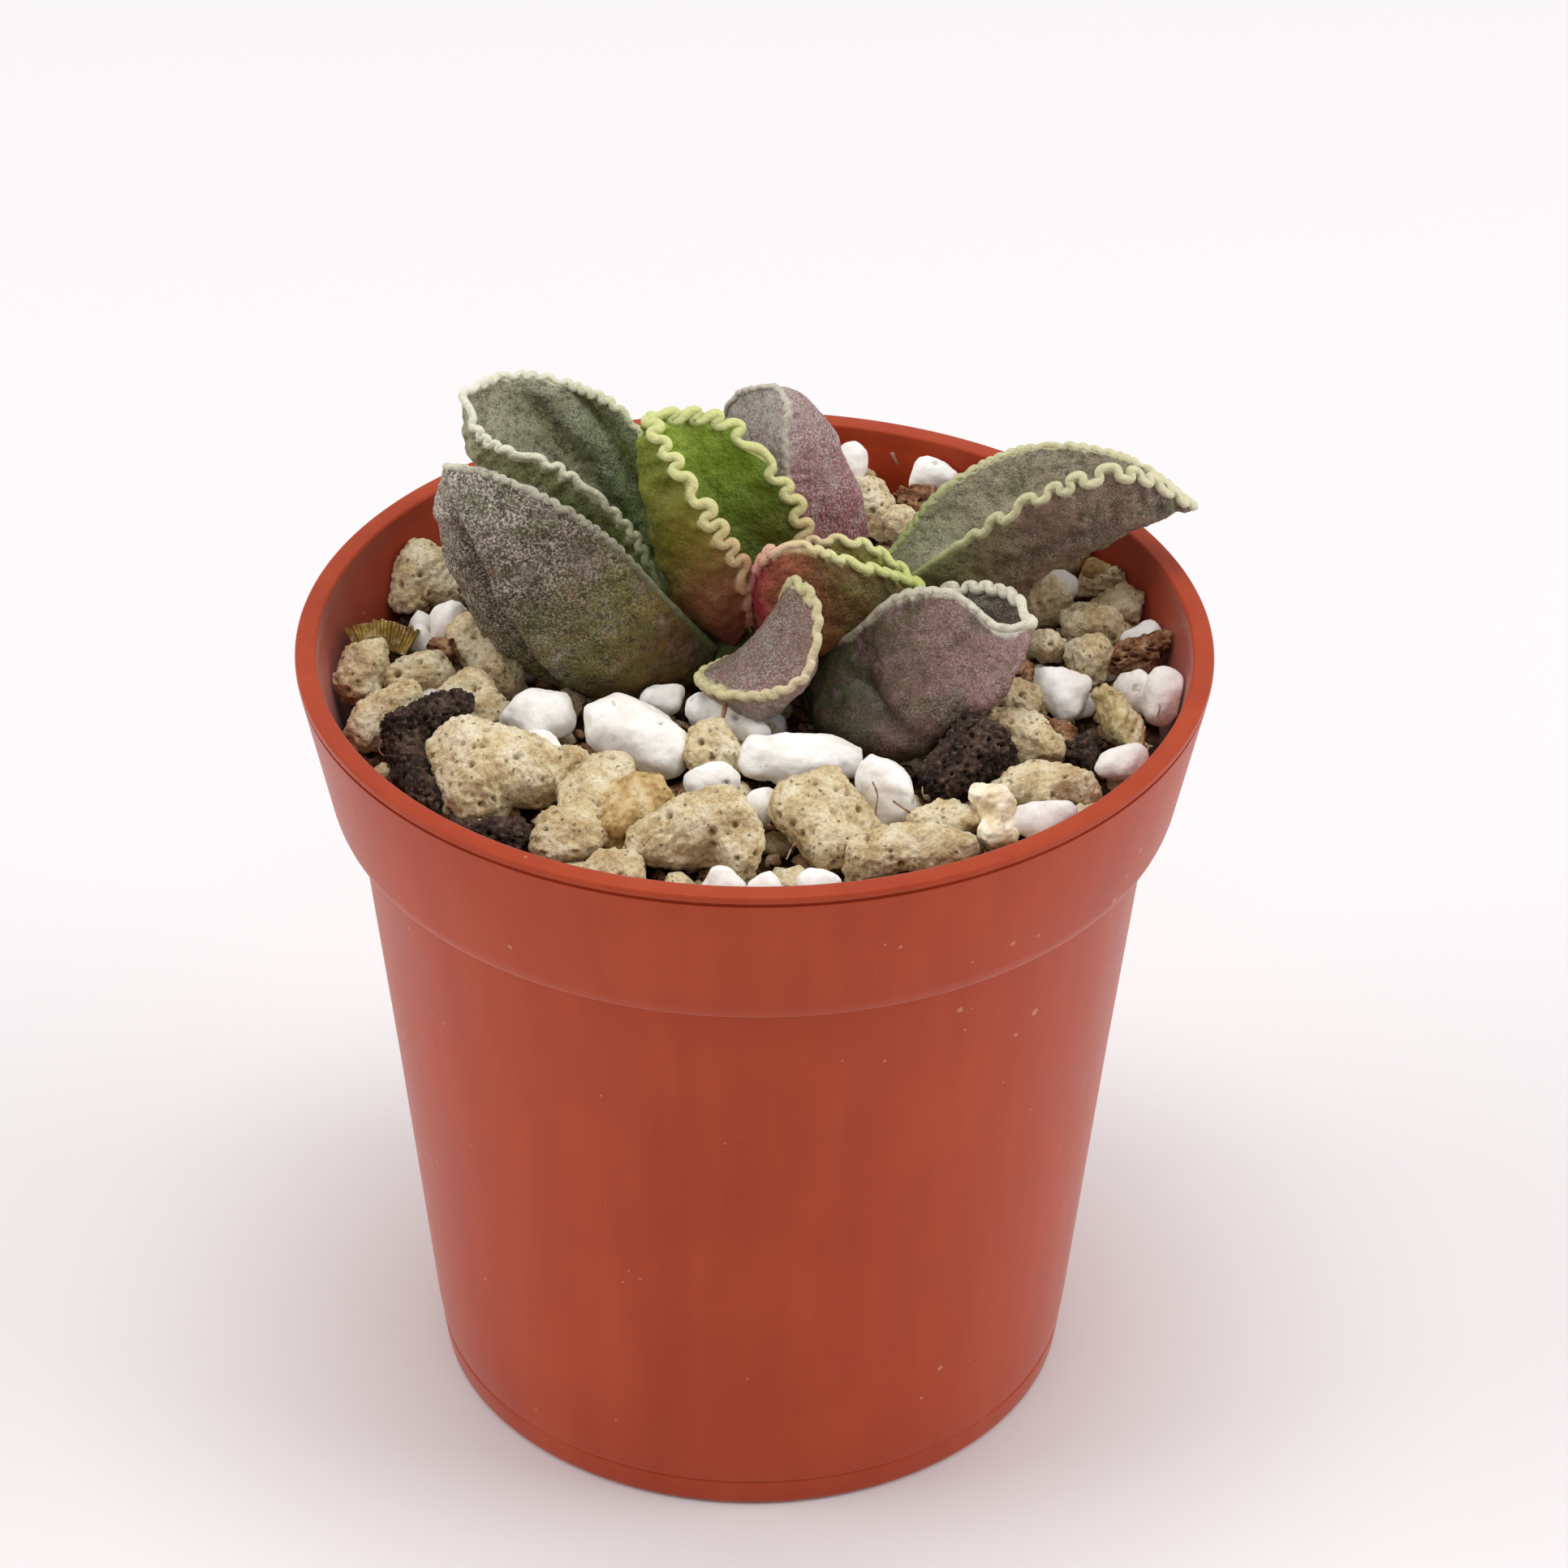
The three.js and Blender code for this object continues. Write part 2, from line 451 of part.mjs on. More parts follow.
// Grains: loose pumice, perlite, lava, bark and flakes lying on the mix. Each has its middle, its
// width, depth and height, its turn about the vertical and, where it leans, its tilt in degrees. Where
// two touch, the later one gives way.
const GRAINS = [
  { name: 'pumice_large_left', kind: 'pumice', at: [-15.1, -8.5, 46.5], size: [8.2, 6, 5.8], turn: -8 },
  { name: 'pumice_large_front', kind: 'pumice', at: [-3.4, -15, 46.2], size: [8.6, 5, 5.4], turn: 5, tilt: 8 },
  { name: 'pumice_front_right', kind: 'pumice', at: [4, -12.6, 46.5], size: [6.6, 5.8, 5.4], turn: -20 },
  { name: 'pumice_long_front', kind: 'pumice', at: [9.2, -16, 46.2], size: [8.4, 4, 3.6], turn: 4 },
  { name: 'pumice_long_right', kind: 'pumice', at: [16.6, -9.3, 46.4], size: [9.2, 4, 3.6], turn: 10 },
  { name: 'perlite_large', kind: 'perlite', at: [-7, -3.9, 46.8], size: [6.6, 5.6, 4.8], turn: -25 },
  { name: 'perlite_long_front', kind: 'perlite', at: [2.8, -6.6, 46.5], size: [8, 3.6, 3], turn: 6 },
  { name: 'lava_left', kind: 'lava', at: [-19.4, -5.3, 46.7], size: [5.6, 6.2, 5], turn: 35 },
  { name: 'lava_right', kind: 'lava', at: [12.8, -6.7, 46.5], size: [5.8, 5.6, 5.4], turn: 20 },
  { name: 'perlite_left', kind: 'perlite', at: [-12.9, -2.7, 46.8], size: [5, 4, 3.2], turn: 5 },
  { name: 'perlite_chip_left', kind: 'perlite', at: [-12.7, -6.3, 47.4], size: [2.6, 2, 1.8], turn: 0 },
  { name: 'perlite_chip_centre', kind: 'perlite', at: [-5.6, 0, 46.7], size: [2.6, 2.4, 2.2], turn: 30 },
  { name: 'perlite_under_leaf', kind: 'perlite', at: [-1.8, -1.9, 46.2], size: [6, 3.6, 2.6], turn: -8 },
  { name: 'perlite_front_chip', kind: 'perlite', at: [-2.5, -9, 46.7], size: [3.6, 2.4, 2.2], turn: 0 },
  { name: 'perlite_front_round', kind: 'perlite', at: [7.9, -10, 46.5], size: [3.8, 4, 3.8], turn: 0 },
  { name: 'pumice_between', kind: 'pumice', at: [-2.5, -5.6, 46.3], size: [3.6, 3, 3.8], turn: 20 },
  { name: 'pumice_left_upper', kind: 'pumice', at: [-19.9, 13.2, 47], size: [5.6, 5.2, 5], turn: 15 },
  { name: 'pumice_left_leaning', kind: 'pumice', at: [-16.5, 5, 46.6], size: [4, 4.6, 5.4], turn: -30, tilt: 25 },
  { name: 'pumice_left_wall', kind: 'pumice', at: [-23.4, 2.2, 46.8], size: [3.8, 3.8, 4], turn: 0 },
  { name: 'pumice_left_middle', kind: 'pumice', at: [-20.6, 2.6, 46.6], size: [4.8, 3.4, 3], turn: 10 },
  { name: 'pumice_left_slab', kind: 'pumice', at: [-17.2, -0.2, 46.4], size: [5, 4, 4], turn: -20, tilt: 10 },
  { name: 'pumice_left_edge', kind: 'pumice', at: [-21.7, -2.2, 46.6], size: [5.4, 4.4, 4], turn: 30 },
  { name: 'pumice_front_left', kind: 'pumice', at: [-9.3, -9.6, 46.5], size: [3.8, 3.8, 4.4], turn: 40 },
  { name: 'pumice_front_low', kind: 'pumice', at: [-10.9, -15, 46.2], size: [4.2, 3.2, 3], turn: 25 },
  { name: 'pumice_ochre', kind: 'ochre', at: [-7, -12.1, 46.4], size: [4.2, 3.8, 4], turn: 30 },
  { name: 'pumice_front_chip', kind: 'pumice', at: [-8, -17.8, 46.4], size: [3.6, 2.6, 2.6], turn: 10 },
  { name: 'pumice_right_back', kind: 'pumice', at: [11, -12.6, 46], size: [4.2, 3, 3], turn: 0 },
  { name: 'pumice_right_upper', kind: 'pumice', at: [15.4, 0, 46.5], size: [4, 3.2, 3], turn: -10 },
  { name: 'pumice_right_slab', kind: 'pumice', at: [15.7, -4, 46.4], size: [5.4, 4, 3.6], turn: -25, tilt: 8 },
  { name: 'husk_front', kind: 'flake', at: [14, -13.3, 46.7], size: [2.6, 2.4, 3.6], turn: 15, tilt: 10 },
  { name: 'perlite_front_rim', kind: 'perlite', at: [17.2, -13.1, 46.6], size: [4, 3, 2.4], turn: 30 },
  { name: 'perlite_right_rim', kind: 'perlite', at: [21.9, -7, 46.6], size: [3.2, 2.8, 2.4], turn: 40 },
  { name: 'flake_golden', kind: 'flake', at: [21.8, -2.6, 46.8], size: [3, 4.2, 4.2], turn: 30, tilt: 15 },
  { name: 'lava_chip', kind: 'lava', at: [19.6, -5, 46.4], size: [2.8, 2.8, 2.8], turn: 0 },
  { name: 'perlite_right', kind: 'perlite', at: [18.5, 1, 46.7], size: [4, 3.6, 3.2], turn: 0 },
  { name: 'perlite_right_egg', kind: 'perlite', at: [22.8, 0.2, 47], size: [2.6, 3, 3.2], turn: 0 },
  { name: 'perlite_wall_egg', kind: 'perlite', at: [24.5, -0.5, 47.4], size: [2.4, 3.4, 3.8], turn: -15 },
  { name: 'bark_crumb', kind: 'bark', at: [23.2, 4.3, 46.8], size: [4.4, 3, 3], turn: 20 },
  { name: 'perlite_twin', kind: 'perlite', at: [23.3, 6.4, 47.6], size: [2.6, 2.2, 2.4], turn: 25 },
  { name: 'pumice_wall_right', kind: 'pumice', at: [22.4, 10, 47.2], size: [3.8, 3.2, 3.2], turn: -15 },
  { name: 'pumice_right_wedge', kind: 'pumice', at: [20.6, 7.8, 46.8], size: [4.2, 3.2, 3.2], turn: -25 },
  { name: 'pumice_right_small', kind: 'pumice', at: [20.1, 4.2, 46.8], size: [2.6, 3.2, 3], turn: -20 },
  { name: 'pumice_under_leaf', kind: 'pumice', at: [17.8, 11.4, 46.6], size: [3.2, 3.2, 3.2], turn: 0 },
  { name: 'bark_slab', kind: 'bark', at: [22, 12.8, 48], size: [4.4, 2, 1.8], turn: 20, tilt: -10 },
  { name: 'pumice_right_far', kind: 'pumice', at: [19.4, 15.6, 47.6], size: [3.8, 3, 3.2], turn: 10 },
  { name: 'perlite_back', kind: 'perlite', at: [5.9, 23, 49.2], size: [2, 2.6, 4], turn: 0 },
  { name: 'bark_back', kind: 'bark', at: [9.7, 20.9, 48], size: [3, 2.8, 3.4], turn: 30 },
  { name: 'perlite_back_right', kind: 'perlite', at: [11.2, 22.2, 49], size: [2.8, 2.4, 4], turn: -20 },
  { name: 'pumice_back', kind: 'pumice', at: [7.4, 19.8, 47.4], size: [3.4, 3.2, 4], turn: 0 },
];

// How many facets each kind has, how uneven it is, and how dull its surface is
const GRAIN_KINDS = {
  pumice: { facets: 9, rough: 0.07, dull: 0.95 },
  ochre: { facets: 8, rough: 0.12, dull: 0.95 },
  perlite: { facets: 0, rough: 0.08, dull: 0.9 },
  lava: { facets: 7, rough: 0.16, dull: 0.95 },
  bark: { facets: 8, rough: 0.1, dull: 0.9 },
  flake: { facets: 6, rough: 0.05, dull: 0.6 },
};

// How near a grain's middle its facets lie, and how far round they reach
const FACET_NEAREST = 0.72;
const FACET_SPREAD = 0.2;
const FACET_EDGE = 0.2;

// A lump with a few flat facets and an uneven surface, of the grain's exact size
function grainGeometry(grain, seed) {
  const kind = GRAIN_KINDS[grain.kind];
  const random = () => THREE.MathUtils.seededRandom();
  THREE.MathUtils.seededRandom(seed);
  const cuts = [];
  for (let i = 0; i < kind.facets; i += 1) {
    const height = 2 * random() - 1;
    const angle = 2 * Math.PI * random();
    const flat = Math.sqrt(1 - height * height);
    const normal = new THREE.Vector3(flat * Math.cos(angle), flat * Math.sin(angle), height);
    cuts.push({ normal, reach: FACET_NEAREST + FACET_SPREAD * random() });
  }
  const ball = closedGeometry(new THREE.IcosahedronGeometry(1, 1));
  const position = ball.attributes.position;
  const direction = new THREE.Vector3();
  for (let i = 0; i < position.count; i += 1) {
    direction.fromBufferAttribute(position, i).normalize();
    let radius = 1;
    cuts.forEach((cut) => {
      const facing = direction.dot(cut.normal);
      if (facing > FACET_EDGE) radius = Math.min(radius, cut.reach / facing);
    });
    radius *= 1 + kind.rough * (2 * random() - 1);
    direction.multiplyScalar(radius);
    position.setXYZ(i, direction.x, direction.y, direction.z);
  }
  ball.center();
  ball.computeBoundingBox();
  const span = ball.boundingBox.getSize(new THREE.Vector3());
  ball.scale(grain.size[0] / span.x, grain.size[1] / span.y, grain.size[2] / span.z);
  ball.rotateY(THREE.MathUtils.degToRad(grain.tilt ?? 0));
  ball.rotateZ(THREE.MathUtils.degToRad(grain.turn));
  ball.translate(...grain.at);
  return ball;
}

// Assembly

const group = new THREE.Group();

function addPiece(name, geometry, colour, roughness) {
  const material = new THREE.MeshStandardMaterial({ color: COLOURS[colour], roughness, metalness: 0 });
  const mesh = new THREE.Mesh(geometry, material);
  mesh.name = name;
  group.add(mesh);
}

addPiece('pot', potGeometry(), 'terracotta', POT_DULL);

const stem = stemGeometry();
addPiece('stem', toGeometry(toSolid(stem)), 'stem', LEAF_DULL);

// What is already in place, a seat gap larger, for the next piece to be cut by
let taken = toSolid(grown(stem, SEAT_GAP));

LEAVES.forEach((leaf) => {
  const blade = leafGeometry(leaf);
  addPiece(leaf.name, toGeometry(toSolid(blade).subtract(taken)), leaf.colour, LEAF_DULL);
  taken = taken.add(toSolid(grown(blade, SEAT_GAP)));
});

const mix = mixSpace();
addPiece('mix', toGeometry(toSolid(mix).subtract(taken)), 'mix', MIX_DULL);
taken = taken.add(toSolid(grown(mix, SEAT_GAP)));

const room = toSolid(potSpace(COLLAR_TOP, [[0, COLLAR_TOP]]));
GRAINS.forEach((grain, index) => {
  const lump = grainGeometry(grain, index + 1);
  const seated = toSolid(lump).intersect(room).subtract(taken);
  addPiece(grain.name, toGeometry(seated), grain.kind, GRAIN_KINDS[grain.kind].dull);
  taken = taken.add(toSolid(grown(lump, SEAT_GAP)));
});

export default group;
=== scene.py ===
# %% [markdown]
# # A potted Adromischus marianiae
#
# This small succulent has eight thick leaves, each folded along its middle like a gutter and edged with
# a pale, crimped bead. It stands in loose grit, in a thin terracotta-coloured nursery pot 55 mm across.
# The lesson dresses a plain model of it: every piece here lies exactly where a plain solid lies, and
# takes that solid's place. Lengths are in metres, +Z is up, and the pot stands on z = 0.

import math

import bmesh
import bpy
import numpy as np
from mathutils import Matrix, Vector, noise


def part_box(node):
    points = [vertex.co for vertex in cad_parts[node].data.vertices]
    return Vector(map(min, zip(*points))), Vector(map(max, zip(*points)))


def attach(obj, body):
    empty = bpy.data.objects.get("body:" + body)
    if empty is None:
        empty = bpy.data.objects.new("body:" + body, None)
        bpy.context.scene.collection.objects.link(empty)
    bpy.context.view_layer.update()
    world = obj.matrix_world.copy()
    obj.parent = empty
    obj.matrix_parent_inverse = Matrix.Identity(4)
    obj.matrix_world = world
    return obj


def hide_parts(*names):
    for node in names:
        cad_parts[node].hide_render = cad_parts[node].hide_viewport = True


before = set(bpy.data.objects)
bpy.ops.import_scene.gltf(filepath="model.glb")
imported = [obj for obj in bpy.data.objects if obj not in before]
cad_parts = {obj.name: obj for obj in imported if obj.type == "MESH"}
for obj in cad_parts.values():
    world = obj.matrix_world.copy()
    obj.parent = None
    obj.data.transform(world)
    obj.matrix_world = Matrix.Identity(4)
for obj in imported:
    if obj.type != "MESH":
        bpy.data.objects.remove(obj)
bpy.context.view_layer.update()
MM = 0.001
print(len(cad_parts), "plain solids")

# %% [markdown]
# ## Small helpers
#
# A node tree is easier to read when each node is one call that names its kind, its inputs and its
# settings. Colours are written as sRGB hex values, as a paint program shows them, but shaders work in
# linear light, so one function turns one into the other.


# %% Nodes and colours
def add(tree, kind, inputs=None, **settings):
    """Adds a node, sets it up, and gives each input a value or a link from another node's output."""
    node = tree.nodes.new(kind)
    for name, value in settings.items():
        setattr(node, name, value)
    for key, value in (inputs or {}).items():
        if isinstance(value, bpy.types.NodeSocket):
            tree.links.new(value, node.inputs[key])
        else:
            node.inputs[key].default_value = value
    return node


def linear(hex_colour):
    """A shader's linear colour from an sRGB hex value."""
    shares = [int(hex_colour[i : i + 2], 16) / 255 for i in (1, 3, 5)]
    return [c / 12.92 if c <= 0.04045 else ((c + 0.055) / 1.055) ** 2.4 for c in shares] + [1.0]


def set_stops(ramp_node, stops):
    """Gives a colour ramp its stops: pairs of a position and a hex colour or a grey level."""
    elements = ramp_node.color_ramp.elements
    while len(elements) < len(stops):
        elements.new(0.5)
    for element, (position, colour) in zip(elements, stops):
        element.position = position
        element.color = linear(colour) if isinstance(colour, str) else (colour, colour, colour, 1.0)


def new_material(name):
    """An empty node material, its tree, its shader and the object's own coordinates."""
    material = bpy.data.materials.new(name)
    material.use_nodes = True
    tree = material.node_tree
    shader = tree.nodes["Principled BSDF"]
    place = add(tree, "ShaderNodeTexCoord").outputs["Object"]
    return material, tree, shader, place


# %% Meshes and pieces
def new_object(name, mesh):
    piece = bpy.data.objects.new(name, mesh)
    bpy.context.scene.collection.objects.link(piece)
    return piece


def mesh_piece(name, points, faces, material):
    """A smooth-shaded piece from arrays of points and faces."""
    mesh = bpy.data.meshes.new(name)
    mesh.from_pydata([tuple(p) for p in points], [], faces)
    mesh.validate()
    mesh.shade_smooth()
    mesh.materials.append(material)
    return new_object(name, mesh)


def face_outwards(piece):
    """Turns the faces of a closed piece outwards."""
    work = bmesh.new()
    work.from_mesh(piece.data)
    bmesh.ops.remove_doubles(work, verts=work.verts, dist=0.0005 * MM)
    bmesh.ops.recalc_face_normals(work, faces=work.faces)
    work.to_mesh(piece.data)
    work.free()


def plain_copy(piece):
    """Turns a piece with modifiers into a plain mesh and drops the modifiers."""
    evaluated = piece.evaluated_get(bpy.context.evaluated_depsgraph_get())
    mesh = bpy.data.meshes.new_from_object(evaluated)
    piece.modifiers.clear()
    piece.data = mesh
    return piece


def triangles(piece):
    piece.data.calc_loop_triangles()
    return len(piece.data.loop_triangles)


def stand_for(piece, slot, *nodes):
    """Attaches a finished piece to the root and hides the plain solids that it replaces; its slot is not used."""
    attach(piece, "root")
    if nodes:
        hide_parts(*nodes)


# %% [markdown]
# ## Camera, floor and light
#
# The plant was photographed from a little above, with a long lens, on white paper under soft light from
# all sides. A long lens keeps the pot's rim a near-perfect ellipse. The paper is a large sheet, the soft
# light a white surrounding, and one big softbox overhead lets the tops of the grains stand out.

# %% Camera
LENS_PIXELS = 7000
FRAME_PIXELS = 1932
SENSOR_WIDTH = 36
PITCH = math.radians(33.389)
ROLL = math.radians(0.495)
DISTANCE = 340.39 * MM
SIDE_STEP = 1.746 * MM
UP_STEP = -8.75 * MM
POT_TOP = Vector((0, 0, 51 * MM))

forward = Vector((0, math.cos(PITCH), -math.sin(PITCH)))
level = Vector((1, 0, 0))
above = level.cross(forward)
right = math.cos(ROLL) * level + math.sin(ROLL) * above
up = -math.sin(ROLL) * level + math.cos(ROLL) * above

camera = bpy.data.objects.new("camera", bpy.data.cameras.new("camera"))
bpy.context.scene.collection.objects.link(camera)
camera.data.sensor_width = SENSOR_WIDTH
camera.data.lens = LENS_PIXELS / FRAME_PIXELS * SENSOR_WIDTH
camera.data.clip_start = 10 * MM
camera.data.clip_end = 10
turn = Matrix((right, up, -forward)).transposed().to_4x4()
turn.translation = POT_TOP - DISTANCE * forward + SIDE_STEP * right + UP_STEP * up
camera.matrix_world = turn
bpy.context.scene.camera = camera
print("camera at", [round(v, 4) for v in turn.translation])

# %% Floor and light
PAPER_HALF_WIDTH = 3.0

paper, paper_tree, paper_shader, paper_place = new_material("White paper")
paper_shader.inputs["Base Color"].default_value = linear("#efedee")
paper_shader.inputs["Roughness"].default_value = 0.9
paper_shader.inputs["Specular IOR Level"].default_value = 0.2
w = PAPER_HALF_WIDTH
floor = mesh_piece("floor", [(-w, -w, 0), (w, -w, 0), (w, w, 0), (-w, w, 0)], [(0, 1, 2, 3)], paper)

SURROUND_STRENGTH = 0.53
# size, power and place of the softboxes: overhead, left and right
SOFTBOXES = [(0.5, 2.5, (0.0, 0.02, 0.8)), (0.6, 2.9, (-0.85, -0.1, 0.45)), (0.6, 3.4, (0.85, -0.1, 0.45))]

world = bpy.data.worlds.new("white surrounding")
world.use_nodes = True
world.node_tree.nodes["Background"].inputs["Color"].default_value = linear("#fffdfd")
world.node_tree.nodes["Background"].inputs["Strength"].default_value = SURROUND_STRENGTH
bpy.context.scene.world = world

for size, power, place in SOFTBOXES:
    softbox = bpy.data.objects.new("softbox", bpy.data.lights.new("softbox", "AREA"))
    softbox.data.shape = "DISK"
    softbox.data.size = size
    softbox.data.energy = power
    softbox.location = place
    softbox.rotation_mode = "QUATERNION"
    softbox.rotation_quaternion = (POT_TOP - Vector(place)).to_track_quat("-Z", "Y")
    bpy.context.scene.collection.objects.link(softbox)
bpy.context.scene.view_settings.view_transform = "Standard"
print("floor and light are in place")

# %% [markdown]
# ## The pot
#
# A nursery pot is injection-moulded polypropylene, a millimetre thick: a tapered body, a wider collar
# that stacks on the next pot, and a small rolled lip. It is a solid of revolution, so its outline is
# drawn once and turned about the axis. Sharp corners never catch the light the way moulded ones do, so
# each corner of the outline is rounded first. The holes in its base are cut last.

# %% Outline
POT_HEIGHT = 51
RIM_RADIUS = 27.5
COLLAR_TOP = 50.4
COLLAR_FOOT = 41.2
COLLAR_FOOT_RADIUS = 25.7
BODY_TOP_RADIUS = 24.2
BODY_FOOT_RADIUS = 20.2
BASE_RADIUS = 19.7
POT_SEGMENTS = 224
DRAIN_COUNT = 6
DRAIN_RADIUS = 1.8
DRAIN_CIRCLE = 13

# radius, height and corner rounding of the outline, in millimetres, up the outside and down the inside
POT_OUTLINE = [
    (0, 0, 0),
    (BASE_RADIUS, 0, 0.5),
    (19.95, 1.9, 0.1),
    (19.83, 2.0, 0.05),
    (19.97, 2.15, 0.1),
    (BODY_FOOT_RADIUS, 3.7, 1.5),
    (22.2, 23, 0),
    (BODY_TOP_RADIUS, COLLAR_FOOT - 0.2, 0.45),
    (COLLAR_FOOT_RADIUS - 0.3, COLLAR_FOOT, 0.3),
    (COLLAR_FOOT_RADIUS, COLLAR_FOOT + 0.7, 0.6),
    (RIM_RADIUS - 0.06, COLLAR_TOP - 0.1, 0.05),
    (RIM_RADIUS - 0.24, COLLAR_TOP - 0.08, 0.03),
    (RIM_RADIUS - 0.24, COLLAR_TOP + 0.14, 0.03),
    (RIM_RADIUS, COLLAR_TOP + 0.16, 0.06),
    (RIM_RADIUS, POT_HEIGHT, 0.28),
    (RIM_RADIUS - 1.3, POT_HEIGHT, 0.25),
    (RIM_RADIUS - 1.3, COLLAR_TOP - 0.6, 0.3),
    (COLLAR_FOOT_RADIUS - 1, COLLAR_FOOT + 1, 0.5),
    (BODY_TOP_RADIUS - 0.9, COLLAR_FOOT - 0.8, 0.5),
    (BODY_FOOT_RADIUS - 0.9, 3.7, 1),
    (BASE_RADIUS - 0.9, 1.2, 0.5),
    (0, 1.2, 0),
]


def rounded(outline, steps=5):
    """The outline with an arc of a few points at each corner that has a rounding."""
    smooth = []
    for i, (radius, height, rounding) in enumerate(outline):
        corner = Vector((radius, height))
        if not rounding:
            smooth.append(corner)
            continue
        before = Vector(outline[i - 1][:2]) - corner
        after = Vector(outline[i + 1][:2]) - corner
        reach = min(rounding, 0.45 * before.length, 0.45 * after.length)
        start = corner + reach * before.normalized()
        end = corner + reach * after.normalized()
        for k in range(steps + 1):
            t = k / steps
            smooth.append((1 - t) ** 2 * start + 2 * t * (1 - t) * corner + t * t * end)
    return smooth


def revolved(name, outline, segments, material):
    """A closed piece from an outline that starts and ends on the axis."""
    points, faces = [], []
    last = len(outline) - 1
    for i in range(segments):
        angle = 2 * math.pi * i / segments
        for radius, height in outline:
            points.append((radius * MM * math.cos(angle), radius * MM * math.sin(angle), height * MM))
        a, b = i * (last + 1), (i + 1) % segments * (last + 1)
        for k in range(last):
            faces.append((a + k, b + k, b + k + 1, a + k + 1))
    piece = mesh_piece(name, points, faces, material)
    face_outwards(piece)
    return piece


# %% [markdown]
# ### Moulded polypropylene
#
# Polypropylene has an IOR of about 1.49 and, straight from the mould, a soft satin skin. Nothing is
# painted on: the colour is in the plastic, a brick red that the white surroundings bleach where the wall
# turns away. What makes it read as a used pot is small: pale dust specks, faint streaks down the wall
# where the plastic flowed, and a slightly uneven gloss.

# %% Pot material
plastic, tree, shader, place = new_material("Moulded polypropylene, brick red")
cloudy = add(tree, "ShaderNodeTexNoise", {"Vector": place, "Scale": 90, "Detail": 3, "Roughness": 0.55})
stretch = add(tree, "ShaderNodeMapping", {"Vector": place, "Scale": (1, 1, 0.06)})
streaks = add(tree, "ShaderNodeTexNoise", {"Vector": stretch.outputs[0], "Scale": 420, "Detail": 3})
tone = add(tree, "ShaderNodeMath", {0: streaks.outputs[0], 1: cloudy.outputs[0]}, operation="ADD")
tint = add(tree, "ShaderNodeValToRGB", {0: tone.outputs[0]})
set_stops(tint, [(0.35, "#a3391a"), (0.5, "#a93e1d"), (0.65, "#af4421")])
half_tone = add(tree, "ShaderNodeMath", {0: tone.outputs[0], 1: 0.5}, operation="MULTIPLY")
tree.links.new(half_tone.outputs[0], tint.inputs[0])
specks = add(tree, "ShaderNodeTexVoronoi", {"Vector": place, "Scale": 800, "Randomness": 1})
speck_size = add(tree, "ShaderNodeTexNoise", {"Vector": place, "Scale": 260, "Detail": 1})
speck_edge = add(
    tree,
    "ShaderNodeMapRange",
    {0: speck_size.outputs[0], 1: 0.55, 2: 0.85, 3: 0.0, 4: 0.28},
)
speck = add(tree, "ShaderNodeMath", {0: specks.outputs["Distance"], 1: speck_edge.outputs[0]}, operation="LESS_THAN")
speck_share = add(tree, "ShaderNodeMath", {0: speck.outputs[0], 1: 0.35}, operation="MULTIPLY")
dusted = add(
    tree,
    "ShaderNodeMix",
    {0: speck_share.outputs[0], 6: tint.outputs[0], 7: linear("#d9a898")},
    data_type="RGBA",
)
tree.links.new(dusted.outputs[2], shader.inputs["Base Color"])
gloss = add(tree, "ShaderNodeMapRange", {0: cloudy.outputs[0], 1: 0.3, 2: 0.7, 3: 0.4, 4: 0.52})
tree.links.new(gloss.outputs[0], shader.inputs["Roughness"])
shader.inputs["IOR"].default_value = 1.49
shader.inputs["Specular IOR Level"].default_value = 0.2
shader.inputs["Sheen Weight"].default_value = 0.26
shader.inputs["Sheen Roughness"].default_value = 0.35
skin = add(tree, "ShaderNodeTexNoise", {"Vector": place, "Scale": 1500, "Detail": 2})
relief = add(tree, "ShaderNodeMath", {0: streaks.outputs[0], 1: skin.outputs[0]}, operation="ADD")
bump = add(tree, "ShaderNodeBump", {"Height": relief.outputs[0], "Strength": 0.5, "Distance": 0.03 * MM})
tree.links.new(bump.outputs[0], shader.inputs["Normal"])

# %% Turn the pot and cut its holes
pot = revolved("pot_shell", rounded(POT_OUTLINE), POT_SEGMENTS, plastic)
drill_work = bmesh.new()
for i in range(DRAIN_COUNT):
    angle = 2 * math.pi * i / DRAIN_COUNT
    at = Matrix.Translation((DRAIN_CIRCLE * MM * math.cos(angle), DRAIN_CIRCLE * MM * math.sin(angle), 0))
    bmesh.ops.create_cone(
        drill_work,
        cap_ends=True,
        segments=24,
        radius1=DRAIN_RADIUS * MM,
        radius2=DRAIN_RADIUS * MM,
        depth=6 * MM,
        matrix=at,
    )
drill_mesh = bpy.data.meshes.new("drill")
drill_work.to_mesh(drill_mesh)
drill_work.free()
drill = new_object("drill", drill_mesh)
cut = pot.modifiers.new("holes", "BOOLEAN")
cut.object = drill
cut.solver = "EXACT"
plain_copy(pot)
bpy.data.objects.remove(drill)
stand_for(pot, "terracotta_plastic", "pot")
print("pot:", triangles(pot), "triangles")

# %% [markdown]
# ## The leaves
#
# Each leaf is a thick blade folded along a keel, so three curves describe it: the near margin, the keel
# and the far margin, all from the base to the tip. Between them the section is a rounded V. A subdivided
# box could be pushed into that shape by hand, but curves keep the shape where the plain solid has it and
# still allow as fine a mesh as the crimped edge needs. The blade is therefore lofted: a row of closed
# rings, near margin, keel, far margin and back along the inner face.

